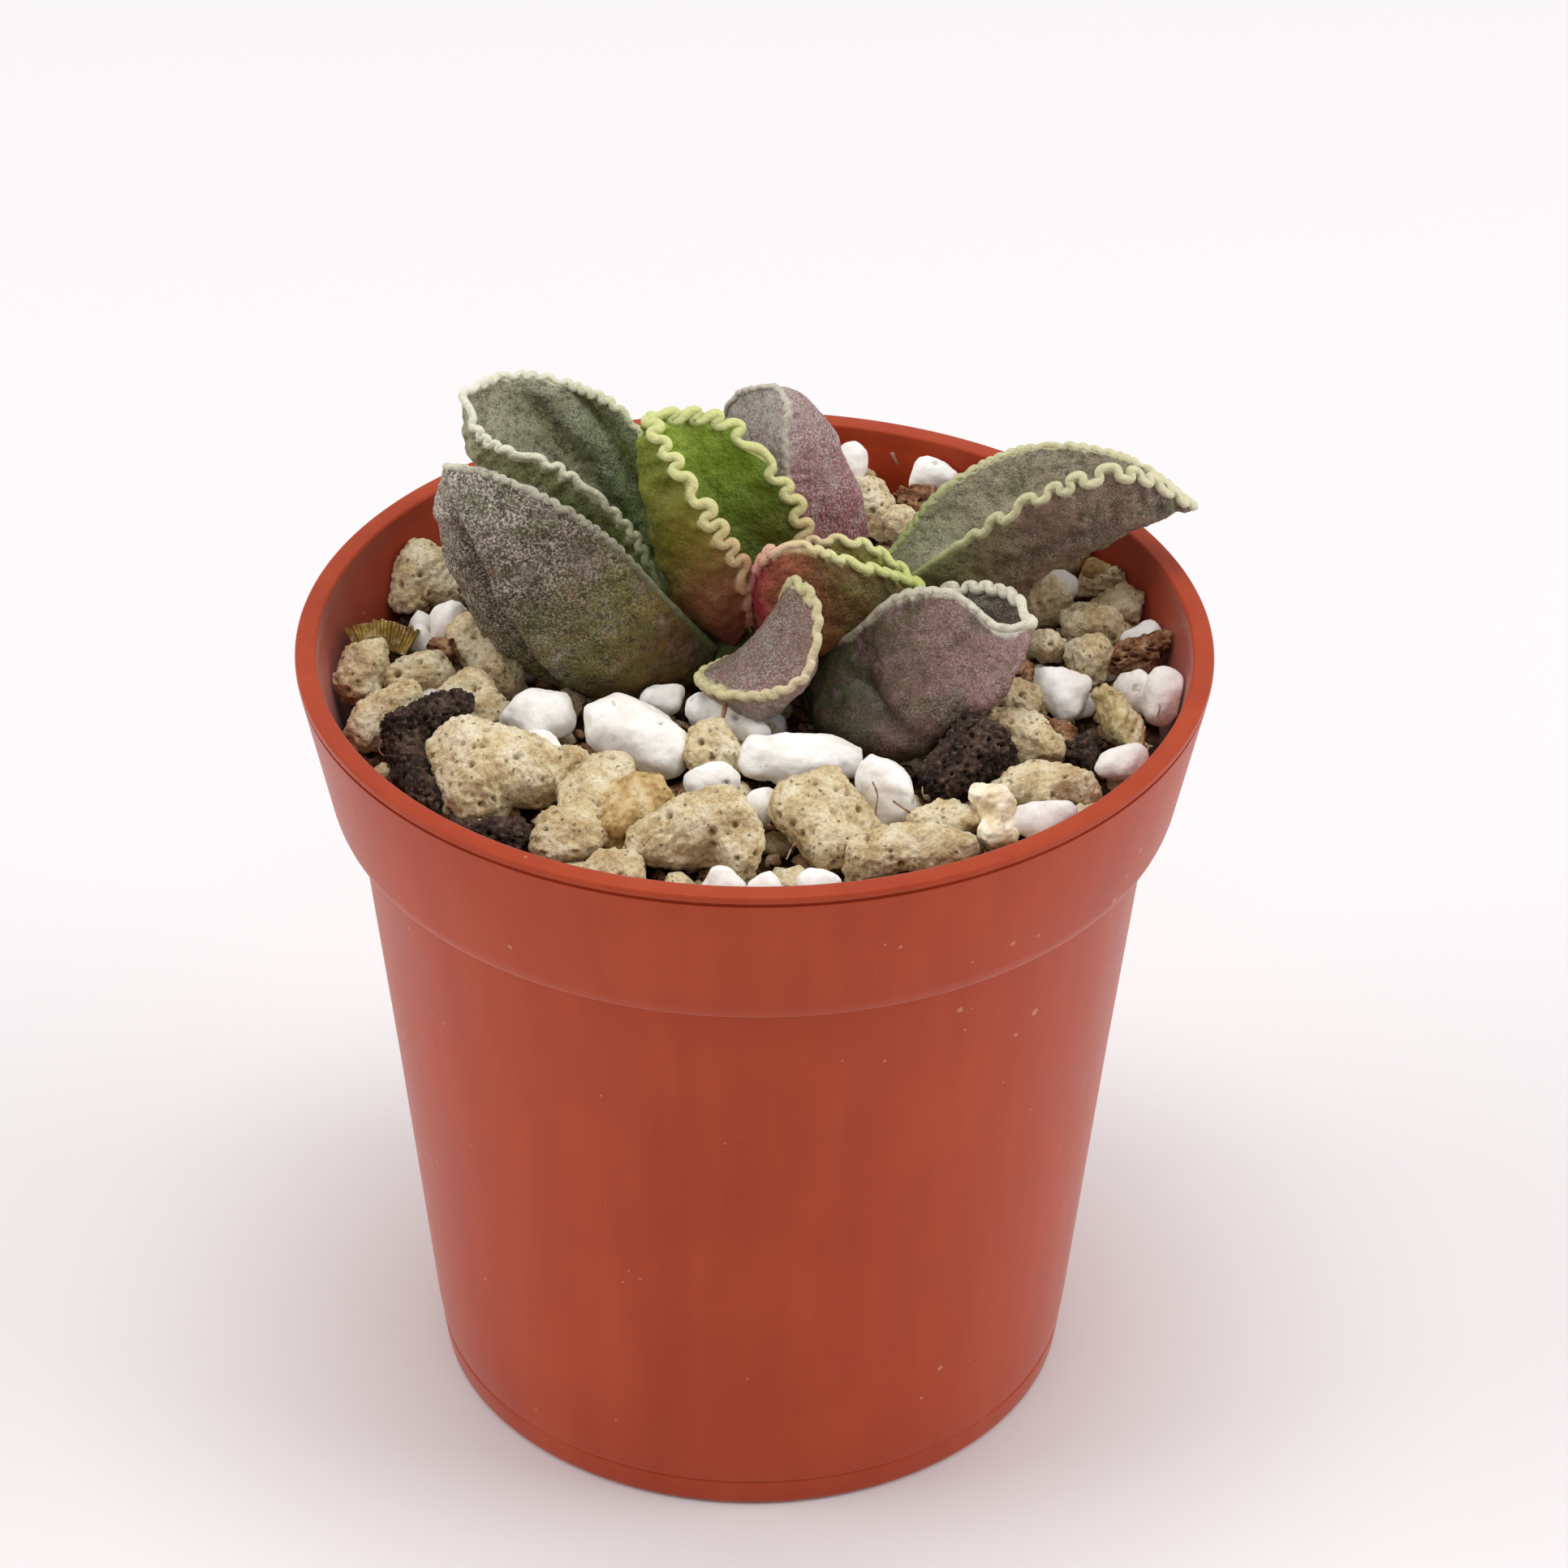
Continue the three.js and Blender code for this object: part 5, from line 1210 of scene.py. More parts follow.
# %% Kinds of grain
# Sizes and heights in millimetres. Weathering is in the order of the tree's inputs, then the stretch of
# its pattern. Body is the voxel that the rough body is remeshed with, how often it is smoothed and how
# many flat sides it breaks along.
STONE = {"roughness": 0.93, "shine": 0.18}
KINDS = {
    "pumice": {
        "name": "Pumice, broken and dusty",
        "slot": "pumice",
        "body": (0.15, 4, 9),
        "weathering": (0.3, 2.2, 0.24, 0.42, 0.5, 0.65, 0.35),
        "stretch": (1, 1, 1),
        "look": STONE
        | {
            "ground": ["#cbb082", "#e2cfa4", "#f2e6c6"],
            "stain_size": 1.8,
            "shade": "#8e7448",
            "dust_and_highlight": "#fbf4e0",
            "mottle_size": 0.26,
            "mottle": 0.55,
            "fleck": "#5a4228",
            "fleck_size": 0.34,
            "fleck_share": 0.24,
            "fleck_strength": 0.65,
            "hole": "#6b4f30",
            "hole_shade_strength": 0.6,
            "relief": 0.24,
        },
    },
    "ochre": {
        "name": "Iron-stained pumice",
        "slot": "ochre_pumice",
        "body": (0.14, 4, 9),
        "weathering": (0.4, 1.9, 0.2, 0.45, 0.6, 1.6, 0.4),
        "stretch": (1, 1, 1),
        "look": STONE
        | {
            "ground": ["#a8844e", "#ccae7a", "#e6d4aa"],
            "stain_size": 1.8,
            "shade": "#7f5a2c",
            "dust_and_highlight": "#e6d2a2",
            "mottle_size": 0.4,
            "mottle": 0.55,
            "fleck": "#553c20",
            "fleck_size": 0.45,
            "fleck_share": 0.25,
            "fleck_strength": 0.7,
            "hole": "#7d4f22",
            "hole_shade_strength": 0.7,
            "relief": 0.2,
        },
    },
    "perlite": {
        "name": "Perlite, oven-puffed glass",
        "slot": "perlite",
        "body": (0.18, 14, 6),
        "weathering": (0.26, 1.9, 0.09, 0.7, 0.3, 0.9, 0.05),
        "stretch": (1, 1, 1),
        "look": STONE
        | {
            "ground": ["#f3ede5", "#fbf7f1", "#fefcf9"],
            "stain_size": 2.4,
            "shade": "#e0d6cc",
            "dust_and_highlight": "#fdfcfb",
            "mottle_size": 0.3,
            "mottle": 0.35,
            "fleck": "#94806c",
            "fleck_size": 0.8,
            "fleck_share": 0.04,
            "fleck_strength": 0.45,
            "hole": "#5d4a3c",
            "hole_shade_strength": 0.7,
            "relief": 0.06,
        },
    },
    "lava": {
        "name": "Lava, coarse and porous",
        "slot": "lava",
        "body": (0.12, 3, 7),
        "weathering": (0.3, 1.3, 0.42, 0.32, 0.6, 0.48, 0.95),
        "stretch": (1, 1, 1),
        "look": STONE
        | {
            "ground": ["#23160f", "#3c2a22", "#5c473a"],
            "stain_size": 1.6,
            "shade": "#1c100b",
            "dust_and_highlight": "#8a7464",
            "mottle_size": 0.3,
            "mottle": 0.6,
            "fleck": "#140805",
            "fleck_size": 0.35,
            "fleck_share": 0.5,
            "fleck_strength": 0.8,
            "hole": "#120705",
            "hole_shade_strength": 0.9,
            "relief": 0.16,
            "shine": 0.35,
        },
    },
    "bark": {
        "name": "Composted bark, torn",
        "slot": "bark",
        "body": (0.13, 3, 9),
        "weathering": (0.45, 1.2, 0.4, 0.36, 0.5, 0.6, 0.6),
        "stretch": (0.5, 1.6, 1.6),
        "look": STONE
        | {
            "ground": ["#5e3a26", "#8c6244", "#bc9878"],
            "stain_size": 1.2,
            "shade": "#54281a",
            "dust_and_highlight": "#b08660",
            "mottle_size": 0.3,
            "mottle": 0.7,
            "fleck": "#2c120a",
            "fleck_size": 0.4,
            "fleck_share": 0.4,
            "fleck_strength": 0.7,
            "hole": "#2f120a",
            "hole_shade_strength": 0.8,
            "relief": 0.16,
        },
    },
    "slab": {
        "name": "Old bark, layered",
        "slot": "bark",
        "body": (0.12, 2, 7),
        "weathering": (0.3, 0.9, 0.3, 0.45, 0.3, 0.8, 0.2),
        "stretch": (0.3, 1.2, 2.2),
        "look": STONE
        | {
            "ground": ["#b09068", "#d2b890", "#ecdcba"],
            "stain_size": 0.9,
            "shade": "#4a3420",
            "dust_and_highlight": "#d2bc98",
            "mottle_size": 0.3,
            "mottle": 0.7,
            "fleck": "#2c1a0e",
            "fleck_size": 0.5,
            "fleck_share": 0.4,
            "fleck_strength": 0.7,
            "hole": "#2a180c",
            "hole_shade_strength": 0.8,
            "relief": 0.16,
        },
    },
    "husk": {
        "name": "Seed husk, papery",
        "slot": "husk",
        "body": (0.1, 1, 18),
        "weathering": (0.3, 0.9, 0.1, 0.35, 0.0, 1.1, 0.0),
        "stretch": (1, 1, 1),
        "look": STONE
        | {
            "ground": ["#e9d8b0", "#f6ebce", "#fdf7e6"],
            "stain_size": 1.2,
            "shade": "#d2b984",
            "dust_and_highlight": "#fbf4e2",
            "mottle_size": 0.5,
            "mottle": 0.5,
            "fleck": "#a78a54",
            "fleck_size": 0.7,
            "fleck_share": 0.1,
            "fleck_strength": 0.5,
            "hole": "#c2a468",
            "hole_shade_strength": 0.5,
            "relief": 0.08,
            "shine": 0.4,
            "roughness": 0.6,
        },
    },
    "golden": {
        "name": "Vermiculite flake, golden mica",
        "slot": "golden_flake",
        "body": (0.12, 2, 14),
        "weathering": (0.35, 1.1, 0.14, 0.4, 0.3, 0.9, 0.15),
        "stretch": (1.6, 0.7, 1),
        "look": STONE
        | {
            "ground": ["#b39a62", "#cfbd8a", "#e8dcb8"],
            "stain_size": 1.4,
            "shade": "#927640",
            "dust_and_highlight": "#f2e8c8",
            "mottle_size": 0.45,
            "mottle": 0.5,
            "fleck": "#6f5420",
            "fleck_size": 0.6,
            "fleck_share": 0.15,
            "fleck_strength": 0.6,
            "hole": "#8a6c2c",
            "hole_shade_strength": 0.6,
            "relief": 0.1,
            "shine": 0.5,
            "roughness": 0.42,
        },
    },
    "stem": {
        "name": "Succulent stem, corky at the foot",
        "slot": "stem",
        "body": (0.2, 6, 0),
        "weathering": (0.3, 2.0, 0.14, 0.6, 0.2, 0.9, 0.2),
        "stretch": (1, 1, 1),
        "look": STONE
        | {
            "ground": ["#2e3a16", "#44502a", "#5c5a38"],
            "stain_size": 1.6,
            "shade": "#2a2410",
            "dust_and_highlight": "#6f7048",
            "mottle_size": 0.35,
            "mottle": 0.5,
            "fleck": "#2a1c10",
            "fleck_size": 0.5,
            "fleck_share": 0.3,
            "fleck_strength": 0.6,
            "hole": "#241a0e",
            "hole_shade_strength": 0.6,
            "relief": 0.1,
        },
    },
}
for kind in KINDS.values():
    kind["material"] = grit_finish(kind["name"], kind["look"])
print(len(KINDS), "kinds of grain")


# %% [markdown]
# ### Bodies
#
# The larger grains have shapes of their own, such as a wedge with a knob or a dog's bone. They are put
# together from overlapping balls, given as steps to the right, up the slope of the view and towards the
# viewer from the middle of the plain solid, and a radius. A voxel remesh melts the balls into one skin.
# The other grains start from the plain solid, rounded off by the same remesh.

# %% Balls of the larger grains
BALLS = {
    "pumice_large_left": [(-1.6, 0.3, 0, 2.2), (-1.6, -1.8, 0, 1.7), (2.1, -0.7, 0, 1.9), (0.4, -0.2, 0, 2.1), (-1.8, 1.9, -0.3, 1.0)],
    "pumice_front_left": [(0.8, 0.4, 0, 1.32), (-0.4, -0.4, 0, 1.65), (-0.4, -2.0, 0, 1.43)],
    "pumice_front_low": [(0, 0, 0, 1.6), (1.2, 0.4, 0, 1.2), (-1.0, -0.5, 0, 0.9)],
    "pumice_ochre": [(-0.2, 0.3, 0, 1.4), (1.3, 0.8, 0, 0.9), (-1.1, -1.4, 0, 1.0), (0.6, -0.4, 0, 1.2)],
    "pumice_large_front": [(-2.5, -0.4, 0, 1.5), (-0.2, 0.1, 0, 2.0), (2.1, 0.3, 0, 2.1), (1.5, 1.6, 0, 1.1), (2.4, -1.2, 0, 1.6)],
    "perlite_large": [(-1.5, 0.4, 0, 1.6), (0.3, -0.2, 0, 2.0), (1.7, -1.4, 0, 1.5), (-0.7, 1.2, 0, 0.9)],
    "perlite_left": [(1.1, 0.2, 0, 1.3), (-0.4, 0.5, 0, 1.1), (-1.4, -0.2, 0, 0.9), (0, -0.8, 0, 0.9)],
    "perlite_chip_left": [(-0.3, -0.2, 0, 1.0), (1.1, -1.5, 0, 0.7)],
    "perlite_chip_centre": [(0.35, 0, 0, 0.9), (-0.6, 0, 0, 0.75)],
    "perlite_under_leaf": [(-1.1, 0.6, 0, 1.1), (0.6, 0, 0, 1.1), (1.8, -0.7, 0, 0.9)],
    "perlite_front_chip": [(-0.6, 0, 0, 0.95), (0.7, 0, 0, 0.95)],
    "pumice_between": [(0, 0.5, 0, 1.32), (-0.9, -0.4, 0, 0.88), (0.9, -0.4, 0, 0.88)],
    "lava_left": [(-1.2, 0, 0, 1.3), (0.5, 1.1, 0, 1.1), (2.0, 1.7, 0, 0.8), (-0.7, -1.6, 0, 1.3), (-0.6, -2.9, 0, 1.1), (0.3, -3.9, 0, 0.9)],
    "pumice_left_slab": [(-0.1, 0.1, 0, 1.35), (1.2, -0.9, 0, 1.1), (-1.1, 0, 0, 0.9)],
    "pumice_left_edge": [(-1.4, -0.9, 0, 1.45), (0.7, 0.6, 0, 1.0), (-0.6, 0.3, 0, 1.0)],
    "pumice_left_wall": [(0.1, 0.3, 0, 1.4), (-1.1, -1.2, 0, 1.1), (-0.3, -1.4, 0, 1.0)],
    "pumice_left_middle": [(0.5, 0, 0, 1.2), (-1.4, -0.7, 0, 0.9), (1.3, -0.4, 0, 0.8), (-0.5, -0.3, 0, 1.0)],
    "pumice_left_leaning": [(-1.1, 0.1, 0, 1.1), (0, -0.7, 0, 1.3), (1.1, -2.0, 0, 1.2), (-0.7, 1.0, 0, 0.7)],
    "pumice_left_upper": [(-1.2, -0.5, 0, 1.6), (0, -0.8, 0, 1.7), (-1.9, -2.1, 0, 1.0), (0.8, -1.6, 0, 1.1), (-1.2, 0.9, 0, 0.9)],
    "pumice_front_right": [(-1.0, -0.2, 0, 1.9), (0.5, 1.0, 0, 1.5), (0.5, -1.8, 0, 1.5), (2.0, -0.8, 0, 1.2)],
    "perlite_long_front": [(-2.4, 0.2, 0, 1.2), (-0.6, 0.1, 0, 1.35), (1.5, 0.2, 0, 1.2), (3.0, 0.1, 0, 0.85)],
    "perlite_front_round": [(-0.4, 0.8, 0, 1.3), (0.3, -0.5, 0, 1.45)],
    "lava_right": [(0.6, 0.2, 0, 1.7), (-1.4, -1.5, 0, 1.3), (0, 1.4, 0, 1.0), (2.0, -0.2, 0, 0.8)],
    "pumice_right_slab": [(0.3, -0.1, 0, 1.55), (-1.5, 0.7, 0, 1.03), (1.7, -0.7, 0, 1.03)],
    "pumice_right_upper": [(-0.3, 0.1, 0, 1.32), (1.1, -0.2, 0, 1.08), (-1.4, -0.5, 0, 0.72)],
    "pumice_long_right": [(0.2, 0.1, 0, 1.15), (-1.6, -0.3, 0, 1.0), (1.6, 0.1, 0, 1.1), (2.9, -0.3, 0, 1.0), (0.9, -0.7, 0, 1.0)],
    "pumice_right_back": [(0.2, 0, 0, 1.2), (-1.0, -0.2, 0, 0.96), (1.4, -0.1, 0, 0.96)],
    "pumice_long_front": [(-2.8, -0.3, 0, 1.38), (-0.7, 0, 0, 1.32), (1.4, 0, 0, 1.15), (3.1, 0.1, 0, 0.98)],
    "husk_front": [(-0.7, 1.2, 0, 0.7), (0.4, 0.9, 0, 1.0), (0.3, -0.2, 0, 0.9), (0.1, -1.1, 0, 0.8), (0.8, -0.9, 0, 0.7)],
    "perlite_front_rim": [(-0.2, -0.1, 0, 1.05), (-1.3, 0, 0, 0.8), (0.9, 0.3, 0, 0.75)],
    "perlite_right_rim": [(0, -0.2, 0, 0.95), (-0.8, -0.3, 0, 0.8), (0.8, 0.2, 0, 0.8)],
    "flake_golden": [(-0.3, 0.1, 0, 1.1), (-0.9, 1.3, 0, 0.6), (0.8, -1.3, 0, 0.9)],
    "perlite_right": [(-0.1, -0.2, 0, 1.25), (-0.9, 0.3, 0, 1.0), (0.9, 0, 0, 0.95), (0.1, -1.1, 0, 0.75)],
    "perlite_right_egg": [(-0.1, 0.3, 0, 1.05), (0.3, -0.7, 0, 0.95)],
    "perlite_wall_egg": [(0.3, 0.4, 0, 1.05), (-0.1, -0.9, 0, 1.05)],
    "bark_slab": [(-0.9, -0.9, 0, 0.45), (0.2, -0.6, 0, 0.6), (1.5, -0.3, 0, 0.6), (2.7, -0.1, 0, 0.45), (1.0, -1.0, 0, 0.45)],
    "bark_crumb": [(-0.9, -0.2, 0, 0.88), (0.6, 0.4, 0, 0.88), (1.5, 1.1, 0, 0.66), (0.3, -0.5, 0, 0.77)],
    "bark_back": [(-0.3, 0.2, 0, 0.9), (0.6, 0.4, 0, 0.8), (-0.4, -0.6, 0, 0.7)],
    "perlite_twin": [(-0.2, -0.6, 0, 0.75), (0.9, 0, 0, 0.75)],
    "pumice_wall_right": [(0.7, -0.3, 0, 1.38), (-0.4, -0.2, 0, 1.12)],
    "pumice_right_wedge": [(0.4, 0.2, 0, 1.38), (-0.7, 0.3, 0, 1.12), (1.2, -0.5, 0, 1.0)],
    "pumice_right_small": [(0.2, 0.2, 0, 1.26), (0.3, -0.8, 0, 0.96)],
    "pumice_under_leaf": [(0, 0, 0, 1.56), (0.4, -0.4, 0, 1.12)],
    "pumice_right_far": [(-0.2, 0.1, 0, 1.2), (1.1, 0.2, 0, 0.96)],
    "perlite_back_right": [(-0.6, 1.0, 0, 0.8), (0.8, 0.3, 0, 0.75), (-0.8, 0.2, 0, 0.7)],
    "perlite_back": [(0.1, 1.2, 0, 0.85), (0, 0.2, 0, 0.8)],
    "pumice_back": [(-0.4, 1.9, 0, 0.85), (0.1, 0.8, 0, 1.0), (0.3, -0.3, 0, 1.0)],
    "lava_chip": [(0.3, 0.1, 0, 0.7), (-0.5, -0.3, 0, 0.6), (0.3, -0.8, 0, 0.55)],
}
# Small grains without a plain solid of their own: kind, middle in millimetres, and the same balls.
SMALL_GRAINS = [
    ("perlite", (-18.7, 7.2, 47.5), [(0, 0.2, 0, 1.1), (-0.4, -0.4, 0, 0.9)]),
    ("perlite", (-20.6, 5.8, 47.2), [(0, 0, 0, 0.85), (0.5, -0.6, 0, 0.6)]),
    ("perlite", (-1.9, -20.3, 46.9), [(0, 0, 0, 1.0), (0.7, 0, 0, 0.8)]),
    ("perlite", (1.0, -20.6, 46.9), [(0, 0, 0, 0.9), (-0.5, 0, 0, 0.7)]),
    ("perlite", (3.6, -20.3, 46.9), [(0, 0, 0, 0.95), (0.8, 0, 0, 0.8)]),
    ("perlite", (0.4, -12.0, 46.8), [(0, 0, 0, 1.0), (0.3, 0.4, 0, 0.8)]),
    ("perlite", (18.7, 11.7, 47.3), [(0, 0, 0, 1.1), (-0.6, 0.3, 0, 0.8)]),
    ("bark", (-19.2, 4.3, 47.2), [(0, 0, 0, 0.8), (0.5, 0.1, 0, 0.6)]),
    ("lava", (-15.0, -15.4, 47.0), [(0, 0, 0, 1.0), (1.2, -0.1, 0, 0.9), (-1.1, 0.2, 0, 0.8)]),
    ("pumice", (-10.7, -7.6, 47.0), [(0, 0, 0, 0.9), (0.5, 0, 0, 0.7)]),
    ("pumice", (7.0, 24.0, 47.6), [(0, 0, 0, 0.9)]),
    ("pumice", (7.3, 21.3, 48.3), [(0, 0.4, 0, 0.9), (0, -0.6, 0, 0.9)]),
    ("pumice", (8.9, 18.8, 47.6), [(0, 0, 0, 1.1), (0.5, 0.3, 0, 0.8)]),
    ("pumice", (17.9, 5.5, 47.3), [(0, 0, 0, 1.0), (-0.5, 0.2, 0, 0.7)]),
    ("bark", (17.6, -4.0, 46.8), [(0, 0, 0, 0.9), (1.0, -0.2, 0, 0.7)]),
    ("bark", (15.0, 2.6, 46.8), [(0, 0, 0, 0.9), (1.2, 0, 0, 0.7)]),
    ("ochre", (21.0, 13.4, 47.6), [(0, 0, 0, 0.9), (0.5, 0, 0, 0.6)]),
]


# %% Grain bodies
INSIDE_WALL = [(0, 18.6), (3.7, 19.2), (40.4, 23.2), (42.2, 24.6), (50.4, 26.15), (60, 26.15)]


def keep_in_pot(mesh):
    """Pushes points that would stick through the pot's wall back inside it."""
    places = np.empty(3 * len(mesh.vertices))
    mesh.vertices.foreach_get("co", places)
    places = places.reshape(-1, 3)
    heights, radii = zip(*INSIDE_WALL)
    most = np.interp(places[:, 2] / MM, heights, radii) * MM
    reach = np.hypot(places[:, 0], places[:, 1])
    places[:, :2] *= np.minimum(1, most / np.maximum(reach, 0.1 * MM))[:, None]
    mesh.vertices.foreach_set("co", places.ravel())
    mesh.update()


BALL_GROWTH = 1.2
BALL_LEVEL = 4
BREAKS = (0.62, 0.9)
REST_HEIGHT = 46.5 * MM


def ball_directions(level):
    work = bmesh.new()
    bmesh.ops.create_icosphere(work, subdivisions=level, radius=1)
    directions = np.array([vert.co[:] for vert in work.verts])
    work.free()
    return directions


BALL_DIRECTIONS = ball_directions(BALL_LEVEL)


def balls_body(name, centre, balls, sides, seed):
    """Balls broken off along random planes, each one joined to its nearest neighbour by flat sides."""
    chance = np.random.default_rng(seed)
    work = bmesh.new()
    lumps = []
    for a, b, c, radius in balls:
        at = centre + MM * (a * right + b * up)
        at -= forward * max(c * MM, (REST_HEIGHT - at.z) / math.sin(PITCH))
        size = BALL_GROWTH * radius * MM
        points = BALL_DIRECTIONS * size
        for _ in range(sides):
            facing = unit(chance.normal(size=3))
            limit = size * chance.uniform(*BREAKS)
            over = np.maximum(points @ facing - limit, 0)
            points = points - over[:, None] * facing
        points = points + np.array(at)
        earlier = sorted(lumps, key=lambda lump: (lump[0] - at).length)
        corners = [work.verts.new(p) for p in points]
        for _, others in earlier[:1]:
            corners += [work.verts.new(p) for p in others]
        bmesh.ops.convex_hull(work, input=corners)
        inner = [vert for vert in corners if vert.is_valid and not vert.link_faces]
        bmesh.ops.delete(work, geom=inner, context="VERTS")
        lumps.append((at, points))
    mesh = bpy.data.meshes.new(name)
    work.to_mesh(mesh)
    work.free()
    return new_object(name, mesh)


def node_body(name, node):
    work = bmesh.new()
    work.from_mesh(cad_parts[node].data)
    bmesh.ops.remove_doubles(work, verts=work.verts, dist=0.001 * MM)
    mesh = bpy.data.meshes.new(name)
    work.to_mesh(mesh)
    work.free()
    return new_object(name, mesh)


def weather(piece, kind, seed):
    """Remeshes, rounds and weathers a rough body, and dresses it in its finish."""
    voxel, rounds, _ = kind["body"]
    remesh = piece.modifiers.new("skin", "REMESH")
    remesh.mode = "VOXEL"
    remesh.voxel_size = voxel * MM
    rounding = piece.modifiers.new("rounding", "SMOOTH")
    rounding.factor = 0.5
    rounding.iterations = rounds
    plain_copy(piece)
    piece.data.materials.clear()
    sizes = {name: value * MM for name, value in zip(WEATHERING, kind["weathering"])}
    sizes["Hole share"] = kind["weathering"][-1]
    sizes |= {"Seed": float(seed), "Stretch": kind["stretch"], "Material": kind["material"]}
    run_tree(piece, WEATHERING_TREE, sizes)
    keep_in_pot(piece.data)
    return piece


# %% Weather the grains
def kind_of(node):
    special = {"flake_golden": "golden", "pumice_ochre": "ochre", "bark_slab": "slab"}
    return special.get(node, node.split("_")[0])


grain_triangles = 0
grain_nodes = [name for name in sorted(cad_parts) if kind_of(name) in KINDS]
for seed, node in enumerate(grain_nodes):
    kind = KINDS[kind_of(node)]
    low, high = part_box(node)
    if node in BALLS:
        middle = (Vector(low) + Vector(high)) / 2
        body = balls_body(node + "_grain", middle, BALLS[node], kind["body"][2], seed + 1)
    else:
        body = node_body(node + "_grain", node)
    weather(body, kind, seed + 1)
    stand_for(body, kind["slot"], node)
    grain_triangles += triangles(body)
for seed, (name, centre, balls) in enumerate(SMALL_GRAINS):
    sides = KINDS[name]["body"][2]
    body = balls_body(f"small_{name}_{seed + 1}", Vector(centre) * MM, balls, sides, seed + 70)
    weather(body, KINDS[name], seed + 70)
    stand_for(body, KINDS[name]["slot"])
    grain_triangles += triangles(body)
print(len(grain_nodes) + len(SMALL_GRAINS), "grains,", grain_triangles, "triangles")

# %% [markdown]
# ## The mix and its crumbs
#
# Below the grit lies a mix of peat, bark and fine pumice. All that shows of it are dark crumbs in the
# gaps. Its top is a dish of fine mesh with rough noise on it, a little lower than the plain solid's. On
# that, Geometry Nodes scatter chips and crumbs wherever no leaf or larger grain stands: points spread at
# an even distance, less those close to something, each with a small pebble turned at random. A last
# push by noise makes no two pebbles alike. With hundreds of them, each has only a few dozen faces.

# %% Top of the mix
MIX_DISH = [(0, 43.9), (13.75, 44.1), (19, 44.7), (22, 45.2), (24.4, 45.7)]
MIX_FOOT = [(24.4, 44.0), (23.0, 40.0), (19.0, 3.7), (18.5, 1.6), (0, 1.6)]
DISH_RINGS = 64

dish_radii, dish_heights = zip(*MIX_DISH)
mix_outline = [Vector((r, np.interp(r, dish_radii, dish_heights))) for r in np.linspace(0, 24.4, DISH_RINGS)]
mix_outline += [Vector(point) for point in MIX_FOOT]
soil_finish = grit_finish(
    "Peat and fine bark, damp",
    STONE
    | {
        "ground": ["#2a170e", "#3d2416", "#5a3a24"],
        "stain_size": 1.6,
        "shade": "#1c0d08",
        "dust_and_highlight": "#7a5a3e",
        "mottle_size": 0.35,
        "mottle": 0.7,
        "fleck": "#c8ad80",
        "fleck_size": 0.6,
        "fleck_share": 0.14,
        "fleck_strength": 0.8,
        "hole": "#120805",
        "hole_shade_strength": 0.8,
        "relief": 0.2,
    },
)
soil = revolved("soil", mix_outline, 200, soil_finish)
run_tree(
    soil,
    WEATHERING_TREE,
    {
        "Lump height": 0.35 * MM,
        "Lump size": 1.6 * MM,
        "Grit height": 0.35 * MM,
        "Grit size": 0.5 * MM,
        "Hole depth": 0.5 * MM,
        "Hole size": 1.1 * MM,
        "Hole share": 0.4,
        "Seed": 5.0,
        "Stretch": (1, 1, 1),
        "Material": soil_finish,
    },
)
keep_in_pot(soil.data)
stand_for(soil, "mix", "mix")
print("soil:", triangles(soil), "triangles")


